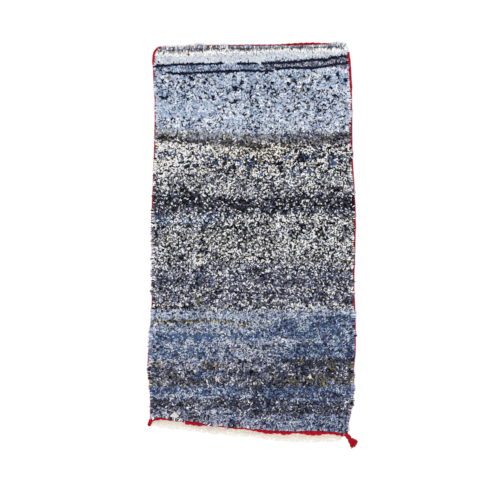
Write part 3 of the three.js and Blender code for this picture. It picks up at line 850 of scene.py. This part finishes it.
def rag_pattern():
    """One rag end, from its hidden root: a strip of three faces with a ring at each bend."""
    bm = bmesh.new()
    bmesh.ops.create_cone(bm, cap_ends=True, segments=3, radius1=0, radius2=1, depth=1)
    bmesh.ops.remove_doubles(bm, verts=bm.verts, dist=0.001)
    bmesh.ops.translate(bm, verts=bm.verts, vec=(0, 0, 0.5))
    for place in RING_PLACES[1:-1]:
        everything = bm.verts[:] + bm.edges[:] + bm.faces[:]
        bmesh.ops.bisect_plane(bm, geom=everything, plane_co=(0, 0, place), plane_no=(0, 0, 1))
    bmesh.ops.recalc_face_normals(bm, faces=bm.faces)
    bm.verts.index_update()
    points = np.array([vertex.co for vertex in bm.verts])
    faces = [[vertex.index for vertex in face.verts] for face in bm.faces]
    bm.free()
    ring = np.abs(points[:, 2, None] - RING_PLACES).argmin(axis=1)
    across = points[:, 0] / np.maximum(points[:, 2], 0.1)
    top_corner = points[:, 1] > 0.2 * points[:, 2]
    side = np.where(top_corner | (ring == 0), 0, -np.sign(across))
    return side, top_corner * 1.0, ring, faces


SIDE, FOLD, RING, RAG_FACES = rag_pattern()
# At the root, the two bends and the cut: how far out and how high a rag end is, how much it
# curls, how wide it is, and how high its fold stands
RING_REACH = np.array([0, 0.22, 0.62, 1])
RING_RISE = np.array([0, 0.78, 1, 1])
RING_CURL = np.array([0, 0.1, 0.45, 1])
RING_WIDTH = np.array([0.45, 0.9, 1, 0.86])
RING_FOLD = np.array([1, 1, 0.9, 0.55])


def rag_points(rags):
    """The corners of every rag end, rag by rag."""
    count = len(rags["x"])
    ahead = np.stack([np.cos(rags["turn"]), np.sin(rags["turn"])], axis=1)
    beside = np.stack([ahead[:, 1], -ahead[:, 0]], axis=1)
    far = rags["reach"][:, None] * RING_REACH
    curl = rng.normal(0, RAG_CURL, count)[:, None] * RING_CURL
    line = np.zeros((count, 4, 3))
    root = np.stack([rags["x"], rags["y"]], axis=1)
    line[:, :, :2] = root[:, None] + far[..., None] * ahead[:, None]
    line[:, :, :2] += curl[..., None] * beside[:, None]
    line[:, :, 2] = ROOT_HEIGHT + (rags["top"] - ROOT_HEIGHT)[:, None] * RING_RISE
    line[:, 3, 2] -= rags["drop"]
    along = np.zeros_like(line)
    along[:, 1:-1] = line[:, 2:] - line[:, :-2]
    along[:, 0] = line[:, 1] - line[:, 0]
    along[:, -1] = line[:, -1] - line[:, -2]
    along = unit(along)
    level = np.zeros((count, 1, 3))
    level[:, 0, :2] = beside
    up = unit(np.cross(level, along))
    roll = (rng.normal(0, RAG_ROLL, count) * (1 - 0.6 * rags["combed"]))[:, None, None]
    side = unit(level * np.cos(roll) + up * np.sin(roll))
    side = unit(side - along * (side * along).sum(axis=-1, keepdims=True))
    up = np.cross(side, along)
    width = (rng.uniform(*RAG_WIDTH, count) * rags["cut"])[:, None] * RING_WIDTH / 2
    fold = rng.uniform(*RAG_FOLD, count)[:, None] * RING_FOLD
    cut = rng.normal(0, RAG_SLANT, count)[:, None] * np.array([0, 0, 0, 1])
    points = line[:, RING] + side[:, RING] * (SIDE * width[:, RING])[..., None]
    points = points + up[:, RING] * (FOLD * fold[:, RING])[..., None]
    points = points + along[:, RING] * (SIDE * cut[:, RING])[..., None]
    return points


# Where the faces of one rag end lie across its part of the sheet: its two upper faces, its
# underside, and the middle of the caps at its root and its cut
SHEET_LEFT, SHEET_RIGHT, SHEET_TOP_WIDTH = 0.0, 0.36, 0.35
SHEET_UNDER, SHEET_UNDER_HALF = 0.74, 0.1
SHEET_CAP, SHEET_CAP_HALF = 0.965, 0.015


def rag_maps():
    """Two maps of one rag end: its cloth, and its place on a sheet of all the rags."""
    cloth, sheet = [], []
    for face in RAG_FACES:
        cap = len(set(RING[face])) == 1
        tops = FOLD[face].sum() > 0
        right = tops and SIDE[face].sum() > 0
        for corner in face:
            side, along = SIDE[corner], RING_PLACES[RING[corner]]
            cloth.append(((side + 1) / 2, along))
            if cap:
                spot = (SHEET_CAP + SHEET_CAP_HALF * side, 0.2 + 0.5 * along + 0.1 * FOLD[corner])
            elif right:
                spot = (SHEET_RIGHT + SHEET_TOP_WIDTH * abs(side), along)
            elif tops:
                spot = (SHEET_LEFT + SHEET_TOP_WIDTH * (1 - abs(side)), along)
            else:
                spot = (SHEET_UNDER + SHEET_UNDER_HALF * (side + 1), along)
            sheet.append(spot)
    return np.array(cloth), np.array(sheet)


CLOTH_MAP, SHEET_MAP = rag_maps()


def rag_mesh(name, points, tones):
    """A mesh of many rag ends, with each end's cloth map, tone and place on the sheet."""
    count = len(points)
    per_rag = points.shape[1]
    lengths = np.array([len(face) for face in RAG_FACES])
    corners = np.concatenate([np.array(face) for face in RAG_FACES])
    mesh = bpy.data.meshes.new(name)
    mesh.vertices.add(count * per_rag)
    mesh.vertices.foreach_set("co", points.astype(np.float32).ravel())
    mesh.loops.add(count * len(corners))
    first = np.arange(count)[:, None] * per_rag
    mesh.loops.foreach_set("vertex_index", (first + corners).astype(np.int32).ravel())
    mesh.polygons.add(count * len(lengths))
    starts = np.arange(count)[:, None] * len(corners) + np.cumsum(lengths) - lengths
    mesh.polygons.foreach_set("loop_start", starts.astype(np.int32).ravel())
    mesh.update(calc_edges=True)
    mesh.shade_flat()
    cloth = mesh.uv_layers.new(name="Rag")
    cloth.data.foreach_set("uv", np.tile(CLOTH_MAP, (count, 1)).astype(np.float32).ravel())
    cells = math.ceil(math.sqrt(count))
    cell = np.stack([np.arange(count) % cells, np.arange(count) // cells], axis=1)
    spots = (cell[:, None] + 0.02 + 0.96 * SHEET_MAP) / cells
    sheet = mesh.uv_layers.new(name="OFBake")
    sheet.data.foreach_set("uv", spots.astype(np.float32).ravel())
    tone = mesh.attributes.new("tone", "FLOAT", "FACE")
    tone.data.foreach_set("value", np.repeat(tones, len(lengths)).astype(np.float32))
    mesh.validate()
    return mesh


def add_noise(tree, place, scale, detail):
    noise = add_node(tree, "TexNoise", {"Vector": place, "Scale": scale, "Detail": detail})
    return noise.outputs["Fac"]


def rag_cloth(name, deep, faded, weft):
    """Cut denim or cotton: twill lines, washed patches, pale cut edges and painted shade towards
    the root.
    """
    material, tree, shader = new_material("rag_" + name, 0.88, 0.05)
    tone = add_node(tree, "Attribute", attribute_name="tone").outputs["Fac"]
    cloth = add_node(tree, "UVMap", uv_map="Rag").outputs["UV"]
    place = add_node(tree, "TexCoord").outputs["Object"]
    dye = blend_colours(tree, tone, linear(deep), linear(faded))
    washed = spread_range(tree, add_noise(tree, place, 150.0, 4.0), 0.5, 0.72, 0.0, 0.7)
    dye = blend_colours(tree, washed, dye, linear(faded))
    turned = add_node(
        tree, "Mapping", {"Vector": cloth, "Rotation": (0, 0, 0.6), "Scale": (1.0, 2.6, 1.0)}
    )
    twill = add_node(
        tree,
        "TexWave",
        {"Vector": turned.outputs["Vector"], "Scale": 2.6, "Distortion": 0.6, "Detail": 1.0},
    )
    lines = spread_range(tree, twill.outputs["Fac"], 0.2, 0.9, 0.0, 0.35)
    dye = blend_colours(tree, lines, dye, linear(weft))
    parts = add_node(tree, "SeparateXYZ", {"Vector": cloth})
    middle = add_node(tree, "Math", {0: parts.outputs["X"], 1: 0.5}, operation="SUBTRACT")
    aside = add_node(tree, "Math", {0: middle.outputs[0]}, operation="ABSOLUTE")
    edge = spread_range(tree, aside.outputs[0], 0.42, 0.5, 0.0, 0.5)
    dye = blend_colours(tree, edge, dye, linear(weft))
    # Painted shade: each rag end is darkened towards its root, where its neighbours shade it
    root = spread_range(tree, parts.outputs["Y"], 0.05, 0.38, 0.35, 1.0)
    dye = blend_colours(tree, 1.0, dye, root, "MULTIPLY")
    tree.links.new(dye, shader.inputs["Base Color"])
    weave = add_noise(tree, place, 900.0, 2.0)
    height = add_node(tree, "Math", {0: twill.outputs["Fac"], 1: weave}, operation="ADD")
    add_relief(tree, shader, height.outputs[0], 0.5, 0.0006)
    return material


field = keep_inside(field_rags())
rags = join_rags([field, *all_rim_rags()])
kinds, seen_x, seen_y = choose_kinds(rags)
# In the sky stripes the few dark knots stand proud of the pale ones
SKY_STRIPES = (590 * MM, 895 * MM)
DARK_RISE = 1.1 * MM
navy = KIND_NAMES.index("navy")
in_sky = (seen_y > SKY_STRIPES[0]) & (seen_y < SKY_STRIPES[1])
rags["top"] += DARK_RISE * ((kinds <= navy) & in_sky)
free = ~beside_navy(seen_x, seen_y)
rags = {key: value[free] for key, value in rags.items()}
kinds = kinds[free]
navy_rags = navy_row_rags()
rags = join_rags([rags, navy_rags])
kinds = np.concatenate([kinds, np.full(len(navy_rags["x"]), navy)])
corner_points = rag_points(rags)
strays = rng.normal(0, TONE_SPREAD, len(kinds)) * (1 - 0.5 * rags["combed"])
tones = np.clip(0.5 + strays, 0, 1)
for index, (kind, shades) in enumerate(RAG_KINDS.items()):
    mine = kinds == index
    mesh = rag_mesh("rags_" + kind, corner_points[mine], tones[mine])
    piece = mesh_object("rags_" + kind, mesh, rag_cloth(kind, *shades))
    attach(piece, "root")
    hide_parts("rug_field")

# Side edges
# Red wool yarn, overcast round the outermost warps of each side, turn against turn. The
# left one runs round its top corner and the right one down to the corner tassel.
WRAP_PITCH = 5.2 * MM
WRAP_STEPS = 3  # rings to a turn of the yarn
YARN_SIDES = 10
SIDE_GAP = 0.35 * MM
EDGE_RISE = SIDE_YARN / 2 * 0.98  # the middle of the yarn, from the floor
EDGE_HEIGHT = SIDE_YARN * 0.94
TOP_ROW_SPAN = (-452 * MM, 388 * MM)
EDGE_FEET = {"left": -875 * MM, "right": -943 * MM}
EDGE_HEADS = {"left": 1100 * MM, "right": 972 * MM}
EDGE_ENDS = {"left": -452 * MM, "right": 505 * MM}
# How wide each edge's yarn is wound, from its foot up, in millimetres
EDGE_WIDTHS = {
    "left": [
        (-875, 10), (-420, 9), (-360, 6.5), (60, 6.5), (120, 10), (880, 11), (918, 15),
        (1010, 14),
    ],
    "right": [
        (-943, 5), (-765, 6.5), (-740, 8), (-330, 9), (-318, 12), (-265, 12), (-250, 9.5),
        (-60, 10), (-10, 12), (110, 12), (140, 10), (740, 11), (790, 15), (1010, 15),
    ],
}


def yarn_mesh(name, path, width, height, sides, relief, upright=(0, 0, 1)):
    """A closed tube round a path. relief gives each point's swell and its painted shade from its
    ring and turn, and upright is the way in which its height is measured."""
    steps = len(path) - 1
    width = np.broadcast_to(width, len(path))
    bm = bmesh.new()
    bmesh.ops.create_cone(bm, cap_ends=True, segments=sides, radius1=1, radius2=1, depth=1)
    rails = [edge for edge in bm.edges if abs(edge.verts[0].co.z - edge.verts[1].co.z) > 0.5]
    bmesh.ops.subdivide_edges(bm, edges=rails, cuts=steps - 1, use_grid_fill=True)
    mesh = finish_mesh(bm, name)
    points = mesh_points(mesh)
    ring = np.rint((points[:, 2] + 0.5) * steps).astype(int)
    turn = np.arctan2(points[:, 1], points[:, 0])
    along = unit(np.gradient(path, axis=0))
    aside = unit(np.cross(upright, along))
    up = np.cross(along, aside)
    swell, painted_groove_shade = relief(ring, turn)
    placed = path[ring]
    placed = placed + aside[ring] * (points[:, 0] * width[ring] / 2 * swell)[:, None]
    placed = placed + up[ring] * (points[:, 1] * height / 2 * swell)[:, None]
    placed[:, 2] = np.maximum(placed[:, 2], 0)
    mesh.vertices.foreach_set("co", placed.astype(np.float32).ravel())
    # Painted shade for the hollows between turns, which the yarn's material reads
    painted_hollow_shade = mesh.attributes.new("painted_hollow_shade", "FLOAT", "POINT")
    painted_hollow_shade.data.foreach_set("value", painted_groove_shade.astype(np.float32))
    mesh.shade_smooth()
    mesh.update()
    return mesh


def overcast(steps_a_turn, slant, seed):
    """Turns of yarn laid side by side: a round swell, and painted shade in the hollows between
    turns.
    """
    loose = np.random.default_rng(seed)

    def relief(ring, turn):
        phase = ring / steps_a_turn + slant * turn / (2 * math.pi)
        rise = np.abs(np.sin(math.pi * phase)) ** 0.6
        uneven = loose.uniform(0.9, 1.04, ring.max() // steps_a_turn + 2)[ring // steps_a_turn]
        return (0.84 + 0.16 * rise) * uneven, 1 - rise

    return relief


def red_yarn(name, bright, dark):
    """Soft spun wool: its red on the turns and painted shade in the hollows, with fine slanting
    fibres.
    """
    material, tree, shader = new_material(name, 0.8, 0.08)
    painted_hollow_shade = add_node(tree, "Attribute", attribute_name="painted_hollow_shade").outputs["Fac"]
    place = add_node(tree, "TexCoord").outputs["Object"]
    # Painted shade: the yarn's red darkens to the second red in the hollows between its turns
    colour = blend_colours(tree, painted_hollow_shade, linear(bright), linear(dark))
    faded = spread_range(tree, add_noise(tree, place, 260.0, 5.0), 0.5, 0.8, 0.0, 0.25)
    colour = blend_colours(tree, faded, colour, linear("#cf1f3e"))
    tree.links.new(colour, shader.inputs["Base Color"])
    stretched = add_node(
        tree, "Mapping", {"Vector": place, "Rotation": (0, 0, 0.5), "Scale": (1.0, 3.0, 1.0)}
    )
    fibre = add_noise(tree, stretched.outputs["Vector"], 900.0, 3.0)
    add_relief(tree, shader, fibre, 0.6, 0.0005)
    return material


# The second red is painted shade for the hollows between the turns
EDGE_RED = red_yarn("red_edge_yarn", "#b60926", "#5a0413")


def edge_path(side):
    """The middle of a side edge: along the pile's foot and round the top corner."""
    line = LEFT_SIDE if side == "left" else RIGHT_SIDE
    end = TOP_END if side == "left" else TOP_END[::-1]
    foot = line[line[:, 1] > EDGE_FEET[side]]
    first = np.array([[np.interp(EDGE_FEET[side], line[:, 1], line[:, 0]), EDGE_FEET[side]]])
    corner = end[np.abs(end[:, 0]) > abs(EDGE_ENDS[side]) + 6 * MM]
    outline = np.vstack([first, foot, corner[corner[:, 1] > foot[-1, 1] - 1]])
    outline = outline[outline[:, 1] < EDGE_HEADS[side]]
    outline = evenly(outline, 4 * MM)
    along = unit(np.gradient(outline, axis=0))
    sign = -1 if side == "left" else 1
    outwards = np.stack([along[:, 1], -along[:, 0]], axis=1) * sign
    width = np.interp(outline[:, 1] / MM, *zip(*EDGE_WIDTHS[side])) * MM
    middle = outline + outwards * (SIDE_GAP + width[:, None] / 2)
    return np.column_stack([middle, np.full(len(middle), EDGE_RISE)])


for side in ("left", "right"):
    path = evenly(edge_path(side), WRAP_PITCH / WRAP_STEPS)
    if side == "right":
        path = path[::-1]
    lumps = clumps(path[:, 1], path[:, 0], (22 * MM, 1.0), 57)
    width = np.interp(path[:, 1] / MM, *zip(*EDGE_WIDTHS[side])) * MM * (1 + 0.1 * lumps)
    wound = overcast(WRAP_STEPS, 0.5, 51)
    mesh = yarn_mesh("edge_" + side, path, width, EDGE_HEIGHT, YARN_SIDES, wound)
    piece = mesh_object("edge_" + side, mesh, EDGE_RED)
    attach(piece, "root")
    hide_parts("selvedge_" + side)

# Twined rows
# At each end two red yarns are twined round the warps and hold the pile. The top one is a
# single row. The bottom one is thicker, and lies on the flat-woven strip.
TWINE_PITCH = 30 * MM
TWINE_STEPS = 16  # rings to one turn of a ply
PLY_SHARE = 0.62  # of the row's width
LOW_ROW_HEIGHT = 8.5 * MM
LOW_ROW_SPAN = (-501.5 * MM, 458 * MM)
LOW_ROW_BASE = 3.0 * MM
# How far the rows lie from the foot of the pile, from left to right, in millimetres
TOP_ROW_GAPS = [(-452, 0.1), (388, 0.1)]
LOW_ROW_GAPS = [
    (-502, 1.2), (-434, 5), (-394, 5), (-354, 2), (-314, 0.3), (-265, 0.5), (-234, 3), (-194, 6),
    (-80, 7), (-50, 1), (-34, 0.3), (46, 1.2), (86, 0.3), (206, 0.6), (326, 0.3), (406, 0.6),
    (458, 0.6),
]
# How wide the rows are twined, from left to right, in millimetres
TOP_ROW_WIDTHS = [
    (-452, 7), (-260, 7), (-240, 10), (110, 10), (150, 11), (180, 14), (230, 16), (310, 16),
    (340, 12), (388, 10),
]
LOW_ROW_WIDTHS = [
    (-502, 14), (-480, 15), (-440, 13), (-400, 12), (-352, 10), (-332, 23), (-265, 22),
    (-240, 13), (-205, 9), (-140, 8), (-100, 9), (-70, 11), (-40, 13), (-10, 15), (40, 19),
    (75, 24), (110, 20), (135, 20), (155, 26), (180, 23), (206, 16), (240, 19), (265, 25),
    (290, 29), (330, 28), (360, 20), (400, 18), (420, 19), (458, 19),
]


def widths(table, x):
    return np.interp(x / MM, *zip(*table)) * MM


def twined(name, line, width, height, base, pitch):
    """Two plies that turn round each other along a line, in one mesh."""
    line = evenly(line, pitch / TWINE_STEPS)
    width = widths(width, line[:, 0]) if isinstance(width, list) else np.full(len(line), width)
    along = unit(np.gradient(line, axis=0))
    aside = np.stack([-along[:, 1], along[:, 0]], axis=1)
    run = np.arange(len(line)) * pitch / TWINE_STEPS
    ply = PLY_SHARE * width
    joined = bmesh.new()
    for half in (0, math.pi):
        angle = run / pitch * math.pi + half
        off = (np.cos(angle) * (width - ply) / 2)[:, None] * aside
        rise = base + height / 2 + np.sin(angle) * height * 0.14
        path = np.column_stack([line + off, rise])
        mesh = yarn_mesh(name, path, ply, height * 0.72, 8, overcast(2, 1.0, 61))
        joined.from_mesh(mesh)
        bpy.data.meshes.remove(mesh)
    mesh = finish_mesh(joined, name)
    mesh.shade_smooth()
    return mesh


def end_line(edge, span, table, gaps, outwards):
    x = np.arange(span[0], span[1], 5 * MM)
    return np.column_stack([x, edge(x) + outwards * (widths(gaps, x) + widths(table, x) / 2)])


# The second red is painted shade for the hollows between the turns
ROW_RED = red_yarn("red_row_yarn", "#ab081f", "#540410")
top_line = end_line(top_at, TOP_ROW_SPAN, TOP_ROW_WIDTHS, TOP_ROW_GAPS, 1)
top_mesh = twined("row_top", top_line, TOP_ROW_WIDTHS, 7.6 * MM, 0.3 * MM, TWINE_PITCH)
top_row = mesh_object("row_top", top_mesh, ROW_RED)
low_line = end_line(bottom_at, LOW_ROW_SPAN, LOW_ROW_WIDTHS, LOW_ROW_GAPS, -1)
low_mesh = twined(
    "row_bottom", low_line, LOW_ROW_WIDTHS, LOW_ROW_HEIGHT, LOW_ROW_BASE, TWINE_PITCH
)
low_row = mesh_object("row_bottom", low_mesh, ROW_RED)
for piece, node in ((top_row, "end_row_top"), (low_row, "end_row_bottom")):
    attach(piece, "root")
    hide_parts(node)

# Flat-woven end
# Cream cotton wefts beaten close over the warps below the pile, with the hem turned under.
WARP_PITCH = 5.6 * MM
KILIM_ROWS = 16
KILIM_THICKNESS = 2.6 * MM
HEM_RISE = 1.5 * MM
RIB_RISE = 0.25 * MM
LEFT_REACH = 12 * MM  # how far the strip passes its solid at the left end
# How far the thin hem lies beyond the strip's solid, from left to right, in millimetres
HEM_REACH = [
    (-505, 17), (-493, 20), (-477, 8), (-430, 8), (-410, 12), (-380, 10), (-340, 12), (-210, 10),
    (-150, 13), (-34, 15), (46, 13), (166, 12), (230, 8), (380, 8), (420, 11), (460, 6),
]
HEM_LUMP = (14 * MM, 1.0)
HEM_RAGGED = 1.6 * MM
BEAT_RISE = 0.12 * MM  # how unevenly the wefts are beaten
FACE_HEIGHT = KILIM_THICKNESS - 0.3 * MM  # the upper face between the ribs


def kilim_edges(node):
    """The inner and the outer edge of the strip's solid, from left to right."""
    points = mesh_points(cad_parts[node].data)
    columns = np.round(points[:, 0], 4)
    x = np.unique(columns)
    inner = np.array([points[columns == place, 1].max() for place in x])
    outer = np.array([points[columns == place, 1].min() for place in x])
    return x, inner, outer


kilim_x, kilim_inner, kilim_outer = kilim_edges("kilim_end")
kilim_start = kilim_x[0] - LEFT_REACH
kilim_width = kilim_x[-1] - kilim_start
warps = int(kilim_width / WARP_PITCH)
hem_places = np.linspace(kilim_start, kilim_x[-1], 200)
hem_raggedness = clumps(hem_places, hem_places * 0, HEM_LUMP, 45) * HEM_RAGGED
kilim_bm = bmesh.new()
kilim_bm.loops.layers.uv.new("Strip")
bmesh.ops.create_grid(
    kilim_bm, x_segments=warps * 3, y_segments=KILIM_ROWS, size=0.5, calc_uvs=True
)
for vertex in kilim_bm.verts:
    across, down = vertex.co.x + 0.5, 0.5 - vertex.co.y
    x = kilim_start + kilim_width * across
    inner = np.interp(x, kilim_x, kilim_inner)
    ragged = np.interp(x, hem_places, hem_raggedness)
    ends = 1 - float(ease(across, 0.98, 1.0))
    outer = np.interp(x, kilim_x, kilim_outer) - (widths(HEM_REACH, x) + ragged) * ends
    shown = float(ease(down, 0.35, 0.5))
    rib = RIB_RISE * math.cos(2 * math.pi * across * warps) * shown
    hem = HEM_RISE * float(ease(down, 0.5, 0.6)) * (1 - float(ease(down, 0.84, 1.0)))
    beat = BEAT_RISE * math.sin(down * KILIM_ROWS * 9.1 + x * 900) * shown
    vertex.co = (x, inner + (outer - inner) * down, FACE_HEIGHT + rib + hem + beat)
bmesh.ops.solidify(kilim_bm, geom=kilim_bm.faces[:], thickness=KILIM_THICKNESS)
for vertex in kilim_bm.verts:
    vertex.co.z = max(vertex.co.z, 0.0)
bmesh.ops.recalc_face_normals(kilim_bm, faces=kilim_bm.faces)


def cream_weave():
    """Cream cotton: fine wefts, the warps' ribs, uneven bleaching and a paler worn hem."""
    material, tree, shader = new_material("cream_weave", 0.92, 0.1)
    place = add_node(tree, "TexCoord").outputs["Object"]
    strip = add_node(tree, "UVMap", uv_map="Strip").outputs["UV"]
    down = add_node(tree, "SeparateXYZ", {"Vector": strip}).outputs["Y"]
    bleach = add_noise(tree, place, 22.0, 4.0)
    worn = add_node(tree, "Math", {0: bleach, 1: down}, operation="SUBTRACT")
    tint = spread_range(tree, worn.outputs[0], -0.2, 0.42)
    colour = blend_colours(tree, tint, linear("#dccfbf"), linear("#e8e5e0"))
    wefts = add_node(
        tree,
        "TexWave",
        {"Vector": place, "Scale": 160.0, "Distortion": 2.0, "Detail": 2.0},
        bands_direction="Y",
    )
    ribs = add_node(
        tree,
        "TexWave",
        {"Vector": place, "Scale": 36.0, "Distortion": 3.0, "Detail": 3.0, "Detail Scale": 2.0},
        bands_direction="X",
    )
    slubs = add_noise(tree, place, 190.0, 1.0)
    # How dark the wefts, the ribs and the slubs are: the pattern's range, and its shades
    shades = (
        (wefts.outputs["Fac"], 0.0, 0.6, 0.86, 1.0),
        (ribs.outputs["Fac"], 0.0, 0.5, 0.94, 1.0),
        (slubs, 0.36, 0.6, 0.84, 1.06),
    )
    for pattern in shades:
        colour = blend_colours(tree, 1.0, colour, spread_range(tree, *pattern), "MULTIPLY")
    tree.links.new(colour, shader.inputs["Base Color"])
    add_relief(tree, shader, wefts.outputs["Fac"], 0.6, 0.0006)
    return material


kilim = mesh_object("flat_woven_end", finish_mesh(kilim_bm, "flat_woven_end"), cream_weave())
kilim.data.shade_smooth()
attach(kilim, "root")
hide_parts("kilim_end")

# Corner tassels
# The ends of the red yarns, tied in one knot at each lower corner. Past the knot they
# spread as a brush on the floor: a full one at the right, and a short one at the left.
# Lengths are in millimetres, and a brush gives its reach at each heading in degrees.
TASSELS = [
    {
        "side": "right", "from": (463, -942), "to": (487, -968), "neck": (26, 9.6),
        "knot": 11, "strands": 84, "thick": 3.6,
        "brush": [
            (-170, 9), (-149, 12), (-121, 17), (-97, 22), (-90, 37), (-81, 50), (-72, 47),
            (-65, 40), (-58, 48), (-36, 42), (-22, 41), (-13, 34), (-6, 21), (10, 11),
        ],
    },
    {
        "side": "left", "from": (-508.6, -872.9), "to": (-516.5, -891.5), "neck": (24, 8.6),
        "knot": 9, "strands": 34, "thick": 3.2,
        "brush": [(-190, 9), (-150, 12), (-120, 14), (-95, 14), (-70, 12), (-40, 9)],
    },
]
NECK_PITCH = 22 * MM
KNOT_LOOPS = (-0.45, 0.0, 0.45)  # where the loops of a knot lie along it, from its middle
# The second red is painted shade for the hollows between the turns
TASSEL_RED = red_yarn("red_tassel_yarn", "#a7061d", "#4c020d")


def tassel_mesh(name, t):
    """A two-ply neck, a knot and a brush of strands."""
    start, end = np.array(t["from"]) * MM, np.array(t["to"]) * MM
    width, height = np.array(t["neck"]) * MM
    joined = bmesh.new()
    neck = twined(name, np.linspace(start, end, 12), width, height, 0.0, NECK_PITCH)
    joined.from_mesh(neck)
    bpy.data.meshes.remove(neck)
    radius = t["knot"] * MM
    heading = math.atan2(*(end - start)[::-1])
    ahead = np.array([math.cos(heading), math.sin(heading), 0])
    beside = np.array([-math.sin(heading), math.cos(heading), 0])
    round_turn = np.linspace(0, 2 * math.pi, 25)[:, None]
    for place in KNOT_LOOPS:
        around = np.array([*end, height / 2]) + ahead * radius * place
        around = around + beside * radius * 0.62 * np.cos(round_turn)
        around = around + np.array([0, 0, height * 0.26]) * np.sin(round_turn)
        wound = overcast(2, 1.0, 71)
        loop = yarn_mesh(name, around, radius * 0.45, radius * 0.55, 8, wound, upright=ahead)
        joined.from_mesh(loop)
        bpy.data.meshes.remove(loop)
    loose = np.random.default_rng(81)
    turns, lengths = np.array(t["brush"]).T
    for k in range(t["strands"]):
        share = (k * 0.618 + loose.uniform(0, 0.02)) % 1.0
        turn = turns[0] + (turns[-1] - turns[0]) * share ** 0.8
        length = np.interp(turn, turns, lengths) * MM * loose.uniform(0.93, 1.02)
        far = np.linspace(0.06, 1, 12)
        angle = np.radians(turn + loose.normal(0, 7) * (far - 0.5))
        thick = t["thick"] * MM
        layer = thick * (0.52 + 0.62 * (k % 3) * (1 - 0.5 * far))
        path = np.column_stack([
            end[0] + np.cos(angle) * far * length,
            end[1] + np.sin(angle) * far * length,
            layer,
        ])
        strand = yarn_mesh(name, path, thick, thick, 6, overcast(2, 1.0, 90 + k))
        joined.from_mesh(strand)
        bpy.data.meshes.remove(strand)
    mesh = finish_mesh(joined, name)
    mesh.shade_smooth()
    return mesh


for t in TASSELS:
    name = "corner_tassel_" + t["side"]
    piece = mesh_object(name, tassel_mesh(name, t), TASSEL_RED)
    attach(piece, "root")
    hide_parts("tassel_" + t["side"])

# White scrap
# A cut of white cotton that lies caught in the pile near the lower left corner, with a thread
# of it drawn over the red row, and a second thread beside it.
SCRAP_CORNERS = [(-415, -852), (-390, -828), (-368, -851), (-386, -862)]
SCRAP_THICKNESS = 1.2 * MM
SCRAP_REST = 2.6  # how high the scrap lies over the pile, in millimetres, and its folds' height
SCRAP_FOLD = 0.55
THREAD_WIDTH = 3.6 * MM
THREAD_HEIGHT = 2.4 * MM
SCRAP_THREADS = [
    [(-381, -859, 21), (-370, -864, 21), (-361, -869, 19), (-356.5, -875, 15.5), (-355, -884, 13)],
    [(-343, -866, 19), (-342, -872, 17), (-341, -878, 14.5), (-340.6, -886, 12.5)],
]
scrap_bm = bmesh.new()
bmesh.ops.create_grid(scrap_bm, x_segments=18, y_segments=16, size=0.5)
left, high, right, low = np.array(SCRAP_CORNERS) * MM
crumple = np.random.default_rng(33).normal(0, 0.5, (4, 3))
for vertex in scrap_bm.verts:
    u, v = vertex.co.x + 0.5, vertex.co.y + 0.5
    place = (left * (1 - u) + low * u) * (1 - v) + (high * (1 - u) + right * u) * v
    fold = sum(math.sin(a * 9 * u + b * 9 * v + c * 6) for a, b, c in crumple)
    under = pile_height(place[:1], place[1:])[0]
    vertex.co = (*place, under + (SCRAP_REST + SCRAP_FOLD * fold) * MM)
bmesh.ops.solidify(scrap_bm, geom=scrap_bm.faces[:], thickness=SCRAP_THICKNESS)
bmesh.ops.recalc_face_normals(scrap_bm, faces=scrap_bm.faces)
for places in SCRAP_THREADS:
    path = evenly(np.array(places) * MM, 1.5 * MM)
    thread = yarn_mesh("thread", path, THREAD_WIDTH, THREAD_HEIGHT, 6, overcast(2, 1.0, 35))
    scrap_bm.from_mesh(thread)
    bpy.data.meshes.remove(thread)
scrap_cotton, scrap_tree, scrap_shader = new_material("scrap_cotton", 0.9)
scrap_place = add_node(scrap_tree, "TexCoord").outputs["Object"]
scrap_soil = add_noise(scrap_tree, scrap_place, 90.0, 4.0)
scrap_tint = spread_range(scrap_tree, scrap_soil, 0.35, 0.65)
scrap_colour = blend_colours(scrap_tree, scrap_tint, linear("#b0ada5"), linear("#cdcac2"))
scrap_tree.links.new(scrap_colour, scrap_shader.inputs["Base Color"])
scrap_weave = add_noise(scrap_tree, scrap_place, 1100.0, 2.0)
add_relief(scrap_tree, scrap_shader, scrap_weave, 0.5, 0.0004)
scrap = mesh_object("white_scrap", finish_mesh(scrap_bm, "white_scrap"), scrap_cotton)
scrap.data.shade_smooth()
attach(scrap, "root")
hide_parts("rug_field")
